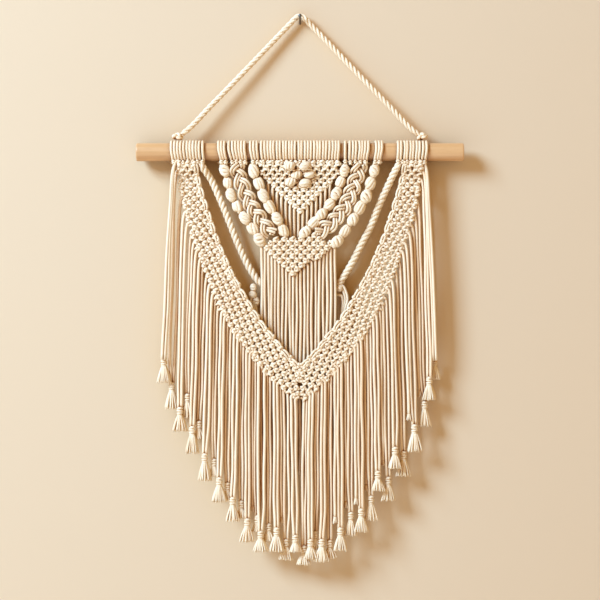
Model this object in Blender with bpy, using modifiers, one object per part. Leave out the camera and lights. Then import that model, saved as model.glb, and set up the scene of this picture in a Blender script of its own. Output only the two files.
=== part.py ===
"""Macrame wall hanging of natural cotton cord on a wooden dowel, with its nail.

World frame: metres, +Z up, the front faces -Y. The origin is where the nail enters the wall,
and the wall is the plane Y = 0. The hanging's own frame has its origin on the dowel's axis.
Tables are in millimetres in that frame: x to the right, drop below the dowel's axis, and front,
which is how far a place stands in front of the dowel's axis.
"""
import math
from collections import namedtuple

import bmesh
import bpy
import numpy as np

MM = 0.001

# Driving sizes in metres
DOWEL_LENGTH = 0.400
DOWEL_DIAMETER = 0.022
DOWEL_DROP = 0.160
DOWEL_DEPTH = 0.0178

# Driving sizes in millimetres
GAP = 0.3
CORD = 3.4
CORD_THICKNESS = 2.8
NAIL_RADIUS = 1.2
NAIL_HEAD_RADIUS = 2.2
NAIL_LENGTH = 20.0
NAIL_HEAD_HEIGHT = 1.4
NAIL_RISE = 0.325            # rise for each unit of length
HANGER_RADIUS = 3.3
HANGER_LAY = 22.0            # length of one turn of the rope
SWAG_RADIUS = 4.3
SWAG_LAY = 30.0
ROPE_STEP = 5.2
ROPE_LOBE = 0.18             # how far a strand stands out of the rope, as a share of the radius

# Heading: cord loops round the dowel
WRAP_PITCH = 3.78
WRAP_CREST = 14.6
WRAP_VALLEY = 13.4
WRAP_GROOVE = 12.9
WRAP_BORE = 12.24
WRAP_SIDES = 8
PANEL_TOP = WRAP_CREST + GAP

# Long V band
V_FORWARD = 9.2              # how far the band stands forward at its tip
V_FORWARD_DROP = 210.0
V_HALF = 3.8
V_SECTIONS = 38
KNOT_RELIEF = 0.7
EDGE_SHARE = 0.35            # a band's thickness at its edges, as a share of the middle's

# Second V and centre panel
SECOND_FORWARD = 5.2
SECOND_FORWARD_DROP = 42.0
CENTRE_HALF = 3.2
NET_HALF = 3.6
NET_SECTIONS = 21
BRAID_HALF_WIDTH = 7.9
BRAID_HALF = 3.6
BEAD_RINGS = 3
BEAD_WAIST = 0.5             # a chain's width between two knots, as a share of a knot's
BERRY_RADIUS = 6.0
BERRY_HEIGHT = 4.6
NET_RELIEF_SHARE = 0.6

# Fringes
STRIP_WIDTH = 3.6
STRIP_HALF = 3.4
ROOT_SHARE = 0.905           # where a cord leaves the strip, as a share of where it hangs
ROOT_SPREAD = 1.7            # front and back cords at the strip
PLANE_SPREAD = 3.3           # front and back cords where they hang
BENT_REACH = 115.0           # cords further out than this leave the strip in a wider bend
PAIR_SPREAD = 2.3            # half the distance between a tassel's two cords
FILLER_ROOM = 7.6            # cords further apart than this get a cord between them
FILLER_SHORT = 14.0          # how far above its neighbours' tassels such a cord ends

# Tassels
HEAD_HEIGHT = 11.6
HEAD_RADIUS = 3.9
SKIRT_HALF_DEPTH = 2.9
TASSEL_SIDES = 6

Heading = namedtuple("Heading", "name groups")
Group = namedtuple("Group", "start cords")
Section = namedtuple("Section", "inner_x inner_drop outer_x outer_drop")
Place = namedtuple("Place", "x drop")
RopePoint = namedtuple("RopePoint", "x drop front radius")
NetRow = namedtuple("NetRow", "x top bottom")
Chain = namedtuple("Chain", "name beads half_width half_depth route")
Tassel = namedtuple("Tassel", "x head skirt half_width")
Slit = namedtuple("Slit", "along across")
Bend = namedtuple("Bend", "below share spread")

# A heading's groups of cords, with a groove between groups
HEADINGS = (
    Heading("heading_left", (Group(-158.7, 11),)),
    Heading("heading_inner_left", (Group(-101.6, 3), Group(-88.4, 6), Group(-62.2, 3))),
    Heading("heading_centre", (Group(-48.9, 26),)),
    Heading("heading_inner_right", (Group(53.6, 1), Group(59.2, 7), Group(90.6, 3))),
    Heading("heading_right", (Group(118.0, 10),)),
)

# Right arm of the long V band, from the dowel to the tip; the left arm mirrors it
V_ARM = (
    Section(126.2, PANEL_TOP, 151.0, PANEL_TOP),
    Section(121.7, 37.7, 148.2, 38.9),
    Section(115.6, 58.5, 143.7, 62.1),
    Section(108.2, 81.7, 137.3, 87.8),
    Section(98.5, 109.2, 126.6, 119.6),
    Section(87.4, 135.5, 115.7, 147.3),
    Section(74.6, 161.2, 104.6, 178.3),
    Section(59.9, 185.7, 92.3, 200.9),
    Section(44.6, 209.5, 74.6, 228.5),
    Section(25.1, 233.4, 53.8, 254.6),
    Section(11.6, 249.9, 27.5, 283.5),
    Section(GAP / 2, 260.9, GAP / 2, 306.7),
)

HANGER_HALF = (
    RopePoint(-154.0, -18.8, 0.0, 4.1),
    RopePoint(-148.0, -19.5, 0.0, 4.2),
    RopePoint(-141.5, -24.0, -0.6, HANGER_RADIUS),
    RopePoint(-110.0, -56.0, -3.0, HANGER_RADIUS),
    RopePoint(-60.0, -108.0, -6.5, HANGER_RADIUS),
    RopePoint(-25.0, -145.0, -9.0, HANGER_RADIUS),
    RopePoint(-11.0, -159.5, -9.6, HANGER_RADIUS),
    RopePoint(-4.5, -166.2, -9.8, HANGER_RADIUS),
)
HANGER_TOP = RopePoint(0.0, -168.2, -9.8, HANGER_RADIUS)

SWAG_LEFT = (
    RopePoint(-120.8, PANEL_TOP + 2.1, 0.0, 3.4),
    RopePoint(-117.8, 20.5, 0.0, 4.0),
    RopePoint(-109.5, 32.0, -0.5, SWAG_RADIUS),
    RopePoint(-98.5, 55.5, -1.6, SWAG_RADIUS),
    RopePoint(-86.0, 86.0, -3.2, SWAG_RADIUS),
    RopePoint(-75.5, 113.0, -4.8, SWAG_RADIUS),
    RopePoint(-61.5, 142.0, -6.4, SWAG_RADIUS),
    RopePoint(-52.5, 155.5, -6.8, 3.6),
    RopePoint(-51.5, 162.0, -6.0, 2.6),
    RopePoint(-56.5, 165.5, -4.6, 3.6),
    RopePoint(-58.3, 170.5, -4.2, 2.8),
    RopePoint(-56.5, 178.0, -4.2, 4.8),
    RopePoint(-55.0, 186.0, -4.6, 3.2),
    RopePoint(-53.5, 196.0, -4.8, 2.8),
    RopePoint(-51.0, 206.0, -4.8, 2.4),
)
SWAG_RIGHT = (
    RopePoint(121.4, PANEL_TOP + 2.1, 0.0, 3.4),
    RopePoint(117.6, 20.5, 0.0, 4.0),
    RopePoint(107.5, 41.5, -0.8, SWAG_RADIUS),
    RopePoint(96.5, 65.5, -2.0, SWAG_RADIUS),
    RopePoint(87.5, 89.0, -3.4, SWAG_RADIUS),
    RopePoint(75.5, 112.0, -4.8, SWAG_RADIUS),
    RopePoint(63.0, 137.0, -6.4, SWAG_RADIUS),
    RopePoint(53.5, 154.0, -6.8, 3.8),
    RopePoint(51.5, 162.0, -6.2, 4.0),
    RopePoint(55.0, 170.0, -4.8, 3.2),
    RopePoint(57.8, 180.0, -4.4, 3.2),
    RopePoint(57.0, 191.0, -4.6, 3.0),
    RopePoint(54.0, 206.0, -4.8, 2.6),
)

CHAINS = (
    Chain("outer_chain_left", 7, 5.9, 4.8, (
        Place(-95.0, PANEL_TOP), Place(-92.0, 22.5), Place(-88.0, 36.0), Place(-84.0, 49.5),
        Place(-78.0, 64.0), Place(-68.5, 79.0), Place(-60.0, 91.5), Place(-47.6, 110.1))),
    Chain("outer_chain_right", 7, 5.9, 4.8, (
        Place(92.5, PANEL_TOP), Place(90.0, 25.5), Place(85.0, 42.0), Place(79.5, 57.0),
        Place(73.0, 70.0), Place(64.0, 83.5), Place(55.0, 97.0), Place(42.8, 109.2))),
    Chain("inner_chain_left", 6, 5.4, 4.6, (
        Place(-56.5, PANEL_TOP), Place(-56.0, 23.5), Place(-50.5, 39.0), Place(-44.5, 54.0),
        Place(-37.5, 67.5), Place(-29.0, 80.5), Place(-16.0, 103.5))),
    Chain("inner_chain_right", 7, 5.2, 4.6, (
        Place(55.0, PANEL_TOP), Place(54.5, 23.5), Place(49.0, 38.5), Place(43.5, 52.5),
        Place(35.5, 65.0), Place(26.0, 76.0), Place(15.0, 88.5), Place(1.0, 103.5))),
)

BRAIDS = (
    ("braid_left", (
        Place(-76.5, PANEL_TOP), Place(-76.0, 22.0), Place(-73.0, 34.0), Place(-68.0, 46.0),
        Place(-63.0, 58.5), Place(-56.5, 70.5), Place(-48.0, 83.0), Place(-34.5, 100.8))),
    ("braid_right", (
        Place(72.5, PANEL_TOP), Place(72.0, 22.0), Place(68.5, 34.0), Place(64.5, 46.0),
        Place(59.0, 58.5), Place(53.0, 69.5), Place(44.0, 80.5), Place(34.0, 90.5),
        Place(21.5, 100.3))),
)
# Openings in a braid, as shares of its length and of its half width
BRAID_SLITS = (
    Slit(0.09, 0.25), Slit(0.21, -0.3), Slit(0.34, 0.3), Slit(0.47, -0.25),
    Slit(0.60, 0.3), Slit(0.73, -0.3), Slit(0.86, 0.25),
)
SLIT_LENGTH = 6.0
SLIT_WIDTH = 2.6

CENTRE_NET = (
    NetRow(-46.8, PANEL_TOP, 25.0), NetRow(-44.0, PANEL_TOP, 34.0), NetRow(-35.5, PANEL_TOP, 43.0),
    NetRow(-28.4, PANEL_TOP, 50.8), NetRow(-20.5, PANEL_TOP, 58.4), NetRow(-12.8, PANEL_TOP, 65.6),
    NetRow(-5.0, PANEL_TOP, 71.5), NetRow(0.0, PANEL_TOP, 73.8), NetRow(5.0, PANEL_TOP, 70.5),
    NetRow(13.0, PANEL_TOP, 62.5), NetRow(24.7, PANEL_TOP, 51.6), NetRow(34.7, PANEL_TOP, 40.8),
    NetRow(44.0, PANEL_TOP, 30.6), NetRow(48.6, PANEL_TOP, 24.0),
)
BERRIES = (
    Place(-12.5, 17.5), Place(6.0, 17.5), Place(-4.0, 27.5), Place(11.5, 27.5),
    Place(-11.5, 36.5), Place(6.0, 37.5),
)
SECOND_NET = (
    NetRow(-46.2, 110.6, 115.0), NetRow(-41.0, 107.6, 119.4), NetRow(-34.6, 102.4, 126.3),
    NetRow(-28.4, 97.4, 132.4), NetRow(-24.5, 102.5, 136.6), NetRow(-18.6, 105.8, 141.3),
    NetRow(-13.2, 103.4, 146.6), NetRow(-8.5, 103.6, 150.6), NetRow(-2.0, 103.4, 147.0),
    NetRow(3.2, 106.4, 143.6), NetRow(9.0, 103.0, 139.8), NetRow(16.0, 95.9, 134.9),
    NetRow(21.0, 102.0, 130.6), NetRow(26.2, 107.8, 126.2), NetRow(33.5, 109.2, 120.2),
    NetRow(40.2, 108.0, 116.6), NetRow(44.0, 111.9, 114.6),
)

# Upper edge of the central fringe's strip, below the second V
CENTRAL_EDGE = (
    Place(-48.5, 114.5), Place(-41.5, 120.2), Place(-29.0, 133.2), Place(-25.0, 137.3),
    Place(-18.0, 143.0), Place(-12.5, 149.0), Place(-8.5, 152.0), Place(-4.0, 150.0),
    Place(3.0, 145.0), Place(11.5, 139.2), Place(26.0, 127.4), Place(34.0, 121.0),
    Place(45.5, 115.0),
)
CENTRAL_CORDS = (
    -46.7, -42.6, -38.4, -34.3, -30.0, -25.6, -21.2, -16.6, -12.4, -8.2, -4.0, 0.5, 5.2, 9.8,
    14.4, 19.0, 23.8, 28.6, 33.0, 37.6, 42.4,
)
CENTRAL_END = 395.0
CENTRAL_END_RISE = 1.1       # how much sooner a cord ends for each mm from the middle
SHORT_CORDS = (
    -39.0, -33.6, -28.2, -22.8, -17.4, -12.2, -7.0, -1.8, 3.4, 8.8, 14.2, 19.8, 25.4, 31.0, 36.6,
)
SHORT_FRONT = -2.7
CENTRAL_ROOT_FRONT = 3.6
CENTRAL_FRONT = 0.9
SHORT_BEND = 9.0             # how far below the strip a straight cord reaches its own plane

TASSELS = (
    Tassel(-166.1, 257, 283, 7.2), Tassel(-156.9, 287, 315, 7.2), Tassel(-146.4, 317, 342, 7.2),
    Tassel(-137.5, 301, 326, 6.6), Tassel(-131.2, 340, 369, 7.2), Tassel(-123.5, 334, 352, 6.0),
    Tassel(-115.9, 373, 402, 7.2), Tassel(-104.6, 380, 397, 6.0), Tassel(-98.1, 402, 428, 7.2),
    Tassel(-88.3, 409, 426, 6.0), Tassel(-81.8, 426, 451, 7.2), Tassel(-71.5, 431, 448, 6.0),
    Tassel(-64.0, 452, 476, 7.2), Tassel(-51.9, 449, 464, 6.4), Tassel(-47.9, 467, 488, 7.2),
    Tassel(-38.2, 459, 476, 6.6), Tassel(-28.4, 463, 488, 7.2), Tassel(-16.8, 478, 499, 7.2),
    Tassel(-5.7, 472, 488, 5.8), Tassel(4.9, 486, 505, 6.6), Tassel(12.8, 477, 497, 5.8),
    Tassel(18.3, 468, 486, 5.6), Tassel(26.5, 477, 500, 6.8), Tassel(36.3, 479, 497, 6.8),
    Tassel(49.2, 463, 487, 7.2), Tassel(62.0, 445, 470, 7.2), Tassel(74.5, 440, 464, 7.2),
    Tassel(86.6, 425, 451, 7.2), Tassel(94.8, 394, 414, 6.4), Tassel(107.6, 402, 427, 7.2),
    Tassel(115.7, 365, 387, 6.6), Tassel(126.3, 371, 397, 7.2), Tassel(139.4, 338, 367, 7.2),
    Tassel(152.3, 310, 337, 7.2), Tassel(157.8, 280, 304, 7.0), Tassel(164.5, 258, 279, 7.2),
)
# How far a cord of the long fringe has come towards where it hangs, below its root
OUTER_BENDS = (Bend(8.0, 0.42, ROOT_SPREAD + 0.6), Bend(60.0, 0.66, PLANE_SPREAD))
INNER_BENDS = (Bend(18.0, 0.8, PLANE_SPREAD),)

# Rings of a tassel's head, as shares of its height and of its radius
HEAD_RINGS = ((0.0, 0.72), (0.16, 1.0), (0.42, 0.88), (0.66, 1.0), (1.0, 0.74))
LOCK_INSET = 0.16
LOCK_STEP = 1.2              # how much shorter the middle lock is
LOCK_REACH = 0.30


def clear_scene():
    """Remove every object, so the model starts from nothing."""
    for item in list(bpy.data.objects):
        bpy.data.objects.remove(item, do_unlink=True)


def make_material(name, colour, roughness, metallic=0.0):
    """Return a Principled material."""
    material = bpy.data.materials.new(name)
    material.use_nodes = True
    shader = material.node_tree.nodes["Principled BSDF"]
    shader.inputs["Base Color"].default_value = (*colour, 1.0)
    shader.inputs["Roughness"].default_value = roughness
    shader.inputs["Metallic"].default_value = metallic
    material.diffuse_color = (*colour, 1.0)
    return material


def make_collection(name):
    """Return a new collection in the scene."""
    collection = bpy.data.collections.new(name)
    bpy.context.scene.collection.children.link(collection)
    return collection


def smooth(rows, count):
    """Return count rows evenly spaced along a Catmull-Rom curve through the given rows."""
    rows = np.array(rows, float)
    knots = np.vstack([2 * rows[0] - rows[1], rows, 2 * rows[-1] - rows[-2]])
    steps = 12
    part = (np.arange(steps) / steps)[None, :, None]
    a, b, c, d = (knots[k:len(knots) - 3 + k][:, None, :] for k in range(4))
    curve = 0.5 * (2 * b + (c - a) * part + (2 * a - 5 * b + 4 * c - d) * part ** 2
                   + (3 * b - a - 3 * c + d) * part ** 3)
    curve = np.vstack([curve.reshape(-1, rows.shape[1]), rows[-1]])
    run = np.concatenate([[0.0], np.cumsum(np.linalg.norm(np.diff(curve, axis=0), axis=1))])
    at = np.linspace(0.0, run[-1], count)
    return np.column_stack([np.interp(at, run, column) for column in curve.T])


def ramp(value, start, end):
    """Return 0 before start and 1 after end, with a soft passage between them."""
    share = np.clip((np.asarray(value, float) - start) / (end - start), 0.0, 1.0)
    return share * share * (3 - 2 * share)


def v_front(drop):
    """Return how far the long V band stands forward at a drop."""
    return V_FORWARD * ramp(drop, PANEL_TOP, V_FORWARD_DROP)


def second_front(drop):
    """Return how far the second V stands forward at a drop."""
    return SECOND_FORWARD * ramp(drop, PANEL_TOP, SECOND_FORWARD_DROP)


def loft_into(bm, rings):
    """Add one closed body through rings of (x, front, drop) points to a bmesh."""
    rows = [[bm.verts.new((x * MM, -front * MM, -drop * MM)) for x, front, drop in ring]
            for ring in rings]
    for near, far in zip(rows, rows[1:]):
        for k in range(len(near)):
            after = (k + 1) % len(near)
            bm.faces.new((near[k], near[after], far[after], far[k]))
    bm.faces.new(rows[0][::-1])
    bm.faces.new(rows[-1])


def finish_mesh(bm, name):
    """Turn a bmesh into a mesh whose faces point outward."""
    bmesh.ops.recalc_face_normals(bm, faces=bm.faces)
    mesh = bpy.data.meshes.new(name)
    bm.to_mesh(mesh)
    bm.free()
    mesh.shade_smooth()
    mesh.set_sharp_from_angle(angle=math.radians(50))
    return mesh


def loft_mesh(name, bodies):
    """Return a mesh of one or more lofted bodies."""
    bm = bmesh.new()
    for rings in bodies:
        loft_into(bm, rings)
    return finish_mesh(bm, name)


def add_object(name, mesh, collection, parent, material=None, location=(0.0, 0.0, 0.0)):
    """Add an object to a collection, under its parent."""
    item = bpy.data.objects.new(name, mesh)
    item.parent = parent
    item.location = location
    if material:
        mesh.materials.append(material)
    collection.objects.link(item)
    return item


def add_cutter(name, mesh, collection, parent):
    """Add a guide object that only serves another object's Boolean."""
    item = add_object(name, mesh, collection, parent)
    item.hide_render = True
    item.display_type = "WIRE"
    return item


def add_boolean(item, other, operation):
    """Join or cut an object with another one."""
    modifier = item.modifiers.new(operation.lower(), "BOOLEAN")
    modifier.operation = operation
    modifier.solver = "EXACT"
    modifier.object = other


def tube_rings(path, half_width, half_depth, sides, turn=0.0, lobe=0.0):
    """Return rings along a path of (x, front, drop) points.

    half_width lies in the plane of the hanging and half_depth across it. turn is the angle of
    each ring and lobe how far every other point stands out.
    """
    path = np.asarray(path, float)
    along = np.gradient(path, axis=0)
    along /= np.linalg.norm(along, axis=1)[:, None]
    side = np.column_stack([along[:, 2], np.zeros(len(path)), -along[:, 0]])
    side /= np.linalg.norm(side, axis=1)[:, None]
    across = np.cross(along, side)
    angle = np.broadcast_to(turn, len(path))[:, None] + math.tau * np.arange(sides) / sides
    swell = 1 + lobe * np.where(np.arange(sides) % 2 == 0, 1.0, -1.0)
    wide = np.broadcast_to(half_width, len(path))[:, None] * np.cos(angle) * swell
    deep = np.broadcast_to(half_depth, len(path))[:, None] * np.sin(angle) * swell
    return path[:, None, :] + wide[..., None] * side[:, None, :] + deep[..., None] * across[:, None, :]


def strand_rings(path):
    """Return the rings of one four-sided cord."""
    corner = math.sqrt(2) / 2
    return tube_rings(path, CORD * corner, CORD_THICKNESS * corner, 4, turn=math.pi / 4)


def rope_rings(points, lay, step):
    """Return the rings of a three-strand rope with its twist raised."""
    rows = np.array(points, float)
    length = np.linalg.norm(np.diff(rows[:, :3], axis=0), axis=1).sum()
    rows = smooth(rows, int(length / step) + 1)
    path = rows[:, [0, 2, 1]]
    run = np.concatenate([[0.0], np.cumsum(np.linalg.norm(np.diff(path, axis=0), axis=1))])
    return tube_rings(path, rows[:, 3], rows[:, 3], 6, turn=math.tau * run / lay, lobe=ROPE_LOBE)


def band_rings(first, second, middle, half, columns, relief):
    """Return rings of a knotted band between two edges of (x, drop) points.

    middle is how far each section stands forward and half its half thickness, thinner at the
    edges. relief(x, drop, row, column) raises the front.
    """
    share = np.linspace(0.0, 1.0, columns)
    places = first[:, None, :] + (second - first)[:, None, :] * share[None, :, None]
    swell = EDGE_SHARE + (1 - EDGE_SHARE) * np.sqrt(np.maximum(1 - (2 * share - 1) ** 4, 0.0))
    x, drop = places[..., 0], places[..., 1]
    row, column = np.indices(x.shape)
    raised = relief(x, drop, row, column) * (swell > 0.5)
    front = middle[:, None] + half * swell + raised
    back = middle[:, None] - half * swell
    face = np.stack([x, front, drop], axis=-1)
    rear = np.stack([x, back, drop], axis=-1)[:, ::-1]
    keep = np.unique(np.linspace(0, columns - 1, max(columns // 2, 3)).round().astype(int))
    return np.concatenate([face, rear[:, keep]], axis=1)


def knots(x, drop, row, column):
    """Raise every other place of a band, as the knots of alternate rows do."""
    return KNOT_RELIEF * np.where((row + column) % 2 == 0, 1.0, -1.0)


def berries(x, drop, row, column):
    """Raise the knots of the centre panel and its round berry knots."""
    height = knots(x, drop, row, column) * NET_RELIEF_SHARE
    for berry in BERRIES:
        reach = np.hypot(x - berry.x, drop - berry.drop) / BERRY_RADIUS
        height = np.maximum(height, BERRY_HEIGHT * np.sqrt(np.maximum(1 - reach ** 2, 0.0)))
    return height


def v_edges(side):
    """Return the inner and outer edges of one arm of the long V band, side being -1 or 1."""
    rows = smooth(V_ARM, V_SECTIONS)
    rows[0, [1, 3]] = PANEL_TOP
    rows[-1, [0, 2]] = GAP / 2
    inner = rows[:, :2] * (side, 1)
    outer = rows[:, 2:] * (side, 1)
    return inner, outer


def strip_path(edge):
    """Return the middle line of a strip just outside an edge that runs to the right."""
    along = np.gradient(edge, axis=0)
    along /= np.linalg.norm(along, axis=1)[:, None]
    normal = np.column_stack([-along[:, 1], along[:, 0]])
    return edge + normal * (GAP + STRIP_WIDTH / 2)


def make_dowel(collection, parent, material):
    """Turned wooden rod with eased ends."""
    bpy.ops.mesh.primitive_cylinder_add(vertices=20, radius=DOWEL_DIAMETER / 2, depth=DOWEL_LENGTH)
    dowel = bpy.context.object
    bpy.context.collection.objects.unlink(dowel)
    collection.objects.link(dowel)
    dowel.name = "dowel"
    dowel.data.name = "dowel"
    dowel.data.shade_smooth()
    dowel.data.set_sharp_from_angle(angle=math.radians(50))
    dowel.rotation_euler = (0.0, math.pi / 2, 0.0)
    dowel.parent = parent
    bevel = dowel.modifiers.new("eased ends", "BEVEL")
    bevel.width = 0.0012
    bevel.segments = 2
    bevel.angle_limit = math.radians(60)
    dowel.data.materials.append(material)


def make_nail(collection, material):
    """Round nail that slopes up out of the wall, cut where it enters it."""
    profile = ((0.0, NAIL_RADIUS), (NAIL_LENGTH, NAIL_RADIUS), (NAIL_LENGTH, NAIL_HEAD_RADIUS),
               (NAIL_LENGTH + NAIL_HEAD_HEIGHT, NAIL_HEAD_RADIUS))
    angles = math.tau * np.arange(12) / 12
    rings = [[(radius * math.cos(angle), out, radius * math.sin(angle) - out * NAIL_RISE)
              for angle in angles] for out, radius in profile]
    add_object("nail", loft_mesh("nail", [rings]), collection, None, material)


def make_headings(collection, parent, material):
    """Cord loops round the dowel: one turned sleeve for each group, a ridge for each cord."""
    for heading in HEADINGS:
        outline = []
        for group in heading.groups:
            if outline:
                outline += [(outline[-1][0] + GAP, WRAP_GROOVE), (group.start - GAP, WRAP_GROOVE)]
            outline.append((group.start, WRAP_VALLEY))
            for cord in range(group.cords):
                x = group.start + cord * WRAP_PITCH
                outline += [(x + WRAP_PITCH / 2, WRAP_CREST), (x + WRAP_PITCH, WRAP_VALLEY)]
        outline += [(outline[-1][0], WRAP_BORE), (outline[0][0], WRAP_BORE)]
        mesh = bpy.data.meshes.new(heading.name)
        count = len(outline)
        mesh.from_pydata([(at * MM, 0.0, -radius * MM) for at, radius in outline],
                         [(k, (k + 1) % count) for k in range(count)], [])
        sleeve = add_object(heading.name, mesh, collection, parent, material)
        screw = sleeve.modifiers.new("turned", "SCREW")
        screw.axis = "X"
        screw.steps = WRAP_SIDES
        screw.render_steps = WRAP_SIDES
        screw.use_merge_vertices = True
        screw.merge_threshold = 0.00001
        screw.use_normal_calculate = True
        screw.use_smooth_shade = True


def make_ropes(collection, parent, material):
    """Hanger rope over the nail, and the two swag ropes with their end knots."""
    mirrored = [point._replace(x=-point.x) for point in reversed(HANGER_HALF)]
    hanger = rope_rings([*HANGER_HALF, HANGER_TOP, *mirrored], HANGER_LAY, ROPE_STEP)
    add_object("hanger_rope", loft_mesh("hanger_rope", [hanger]), collection, parent, material)
    for name, points in (("swag_rope_left", SWAG_LEFT), ("swag_rope_right", SWAG_RIGHT)):
        rings = rope_rings(points, SWAG_LAY, ROPE_STEP)
        add_object(name, loft_mesh(name, [rings]), collection, parent, material)


def make_v_arms(collection, parent, material):
    """Two knotted arms of the long V band, a gap apart at the tip."""
    for name, side in (("long_v_left", -1), ("long_v_right", 1)):
        inner, outer = v_edges(side)
        middle = v_front((inner[:, 1] + outer[:, 1]) / 2)
        rings = band_rings(inner, outer, middle, V_HALF, 6, knots)
        add_object(name, loft_mesh(name, [rings]), collection, parent, material)


def make_nets(collection, parent, material):
    """Centre panel with its berry knots, and the panel where the second V meets."""
    rows = smooth(CENTRE_NET, NET_SECTIONS)
    top = rows[:, [0, 1]]
    middle = np.zeros(len(rows))
    rings = band_rings(top, rows[:, [0, 2]], middle, CENTRE_HALF, 11, berries)
    add_object("centre_net", loft_mesh("centre_net", [rings]), collection, parent, material)
    rows = np.array(SECOND_NET, float)
    middle = np.full(len(rows), SECOND_FORWARD)
    rings = band_rings(rows[:, [0, 1]], rows[:, [0, 2]], middle, NET_HALF, 7, knots)
    add_object("second_net", loft_mesh("second_net", [rings]), collection, parent, material)


def make_chains(collection, parent, material):
    """Chains of round knots: a cord that swells at each bead."""
    for chain in CHAINS:
        count = chain.beads * BEAD_RINGS + 1
        route = smooth(chain.route, count)
        path = np.column_stack([route[:, 0], second_front(route[:, 1]), route[:, 1]])
        phase = np.arange(count) / BEAD_RINGS
        swell = BEAD_WAIST + (1 - BEAD_WAIST) * np.sqrt(np.abs(np.sin(math.pi * phase)))
        rings = tube_rings(path, chain.half_width * swell, chain.half_depth * swell, 6)
        rings[0, :, 2] = np.maximum(rings[0, :, 2], PANEL_TOP)
        add_object(chain.name, loft_mesh(chain.name, [rings]), collection, parent, material)


def make_braids(collection, cutters, parent, material):
    """Flat braids of the second V, with the slits between their cords cut through."""
    for name, route in BRAIDS:
        line = smooth(route, 15)
        along = np.gradient(line, axis=0)
        along /= np.linalg.norm(along, axis=1)[:, None]
        normal = np.column_stack([along[:, 1], -along[:, 0]])
        wave = BRAID_HALF_WIDTH * (0.94 + 0.06 * np.where(np.arange(len(line)) % 2, 1.0, -1.0))
        first = line - normal * wave[:, None]
        second = line + normal * wave[:, None]
        first[0, 1] = second[0, 1] = PANEL_TOP
        middle = second_front(line[:, 1])
        rings = band_rings(first, second, middle, BRAID_HALF, 5, knots)
        braid = add_object(name, loft_mesh(name, [rings]), collection, parent, material)
        bodies = []
        for slit in BRAID_SLITS:
            at = slit.along * (len(line) - 1)
            centre = np.array([np.interp(at, range(len(line)), column) for column in line.T])
            forward = np.array([np.interp(at, range(len(line)), column) for column in along.T])
            forward /= np.linalg.norm(forward)
            sideways = np.array([forward[1], -forward[0]])
            centre = centre + sideways * slit.across * BRAID_HALF_WIDTH
            front = float(second_front(centre[1]))
            corners = [centre + forward * SLIT_LENGTH / 2 * a + sideways * SLIT_WIDTH / 2 * b
                       for a, b in ((-1, -1), (1, -1), (1, 1), (-1, 1))]
            bodies.append([[(x, front + reach, drop) for x, drop in corners]
        for reach in (-3 * BRAID_HALF, 3 * BRAID_HALF)])
        cutter = add_cutter(name + "_slits", loft_mesh(name + "_slits", bodies), cutters, parent)
        add_boolean(braid, cutter, "DIFFERENCE")


def make_fringe(name, path, strands, collection, cutters, parent, material):
    """A strip along a path of (x, front, drop) points, with cords fused into it."""
    corner = math.sqrt(2)
    strip = tube_rings(path, STRIP_WIDTH / 2 * corner, STRIP_HALF * corner, 4, turn=math.pi / 4)
    fringe = add_object(name, loft_mesh(name, [strip]), collection, parent, material)
    bodies = [strand_rings(strand) for strand in strands]
    cords = add_cutter(name + "_cords", loft_mesh(name + "_cords", bodies), cutters, parent)
    add_boolean(fringe, cords, "UNION")


def short_strands(path, cords, front, end):
    """Return straight cords that leave a strip and hang to end(x)."""
    strands = []
    order = np.argsort(path[:, 0])
    for x in cords:
        drop = float(np.interp(x, path[order, 0], path[order, 2]))
        root = float(np.interp(x, path[order, 0], path[order, 1]))
        strands.append([(x, root, drop), (x, front, drop + SHORT_BEND), (x, front, end(x))])
    return strands


def make_short_fringes(collection, cutters, parent, material):
    """Short cords under the centre panel, and the central fringe under the second V."""
    rows = smooth(CENTRE_NET, NET_SECTIONS)
    lower = strip_path(rows[:, [0, 2]])
    lower = lower[2:-2]
    path = np.column_stack([lower[:, 0], np.zeros(len(lower)), lower[:, 1]])
    left = np.array(CHAINS[2].route, float)
    right = np.array(CHAINS[3].route, float)
    chain = np.vstack([left, right[::-1]])
    make_fringe("short_fringe", path,
                short_strands(path, SHORT_CORDS, SHORT_FRONT,
                              lambda x: float(np.interp(x, chain[:, 0], chain[:, 1])) + 1.0),
                collection, cutters, parent, material)
    line = strip_path(smooth(CENTRAL_EDGE, 22))
    path = np.column_stack([line[:, 0], np.full(len(line), CENTRAL_ROOT_FRONT), line[:, 1]])
    make_fringe("central_fringe", path,
                short_strands(path, CENTRAL_CORDS, CENTRAL_FRONT,
                              lambda x: CENTRAL_END - CENTRAL_END_RISE * abs(x)),
                collection, cutters, parent, material)


def tassel_plane(index):
    """Tassels hang in turn in a front and a back plane: return 1 or -1."""
    return 1 if index % 2 == 0 else -1


def hang_root(x, edge):
    """Return where a cord that hangs at x leaves the strip."""
    reach = abs(x)
    order = np.argsort(np.abs(edge[:, 0]))
    drop = float(np.interp(reach * ROOT_SHARE, np.abs(edge[order, 0]), edge[order, 2]))
    place = float(np.interp(drop, edge[:, 2], edge[:, 0]))
    return place, drop


def tassel_front(tassel, plane, edge):
    """Return how far forward a tassel and its cords hang."""
    return float(v_front(hang_root(tassel.x, edge)[1])) + plane * PLANE_SPREAD


def hang_strand(x, end_x, end_drop, end_front, plane, edge):
    """Return the path of one cord of the long fringe from the strip to its end."""
    root_x, root_drop = hang_root(x, edge)
    middle = float(v_front(root_drop))
    bends = OUTER_BENDS if abs(x) > BENT_REACH else INNER_BENDS
    path = [(root_x, middle + plane * ROOT_SPREAD, root_drop)]
    path += [(root_x + (x - root_x) * bend.share, middle + plane * bend.spread,
              root_drop + bend.below) for bend in bends]
    return path + [(end_x, end_front, end_drop)]


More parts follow.
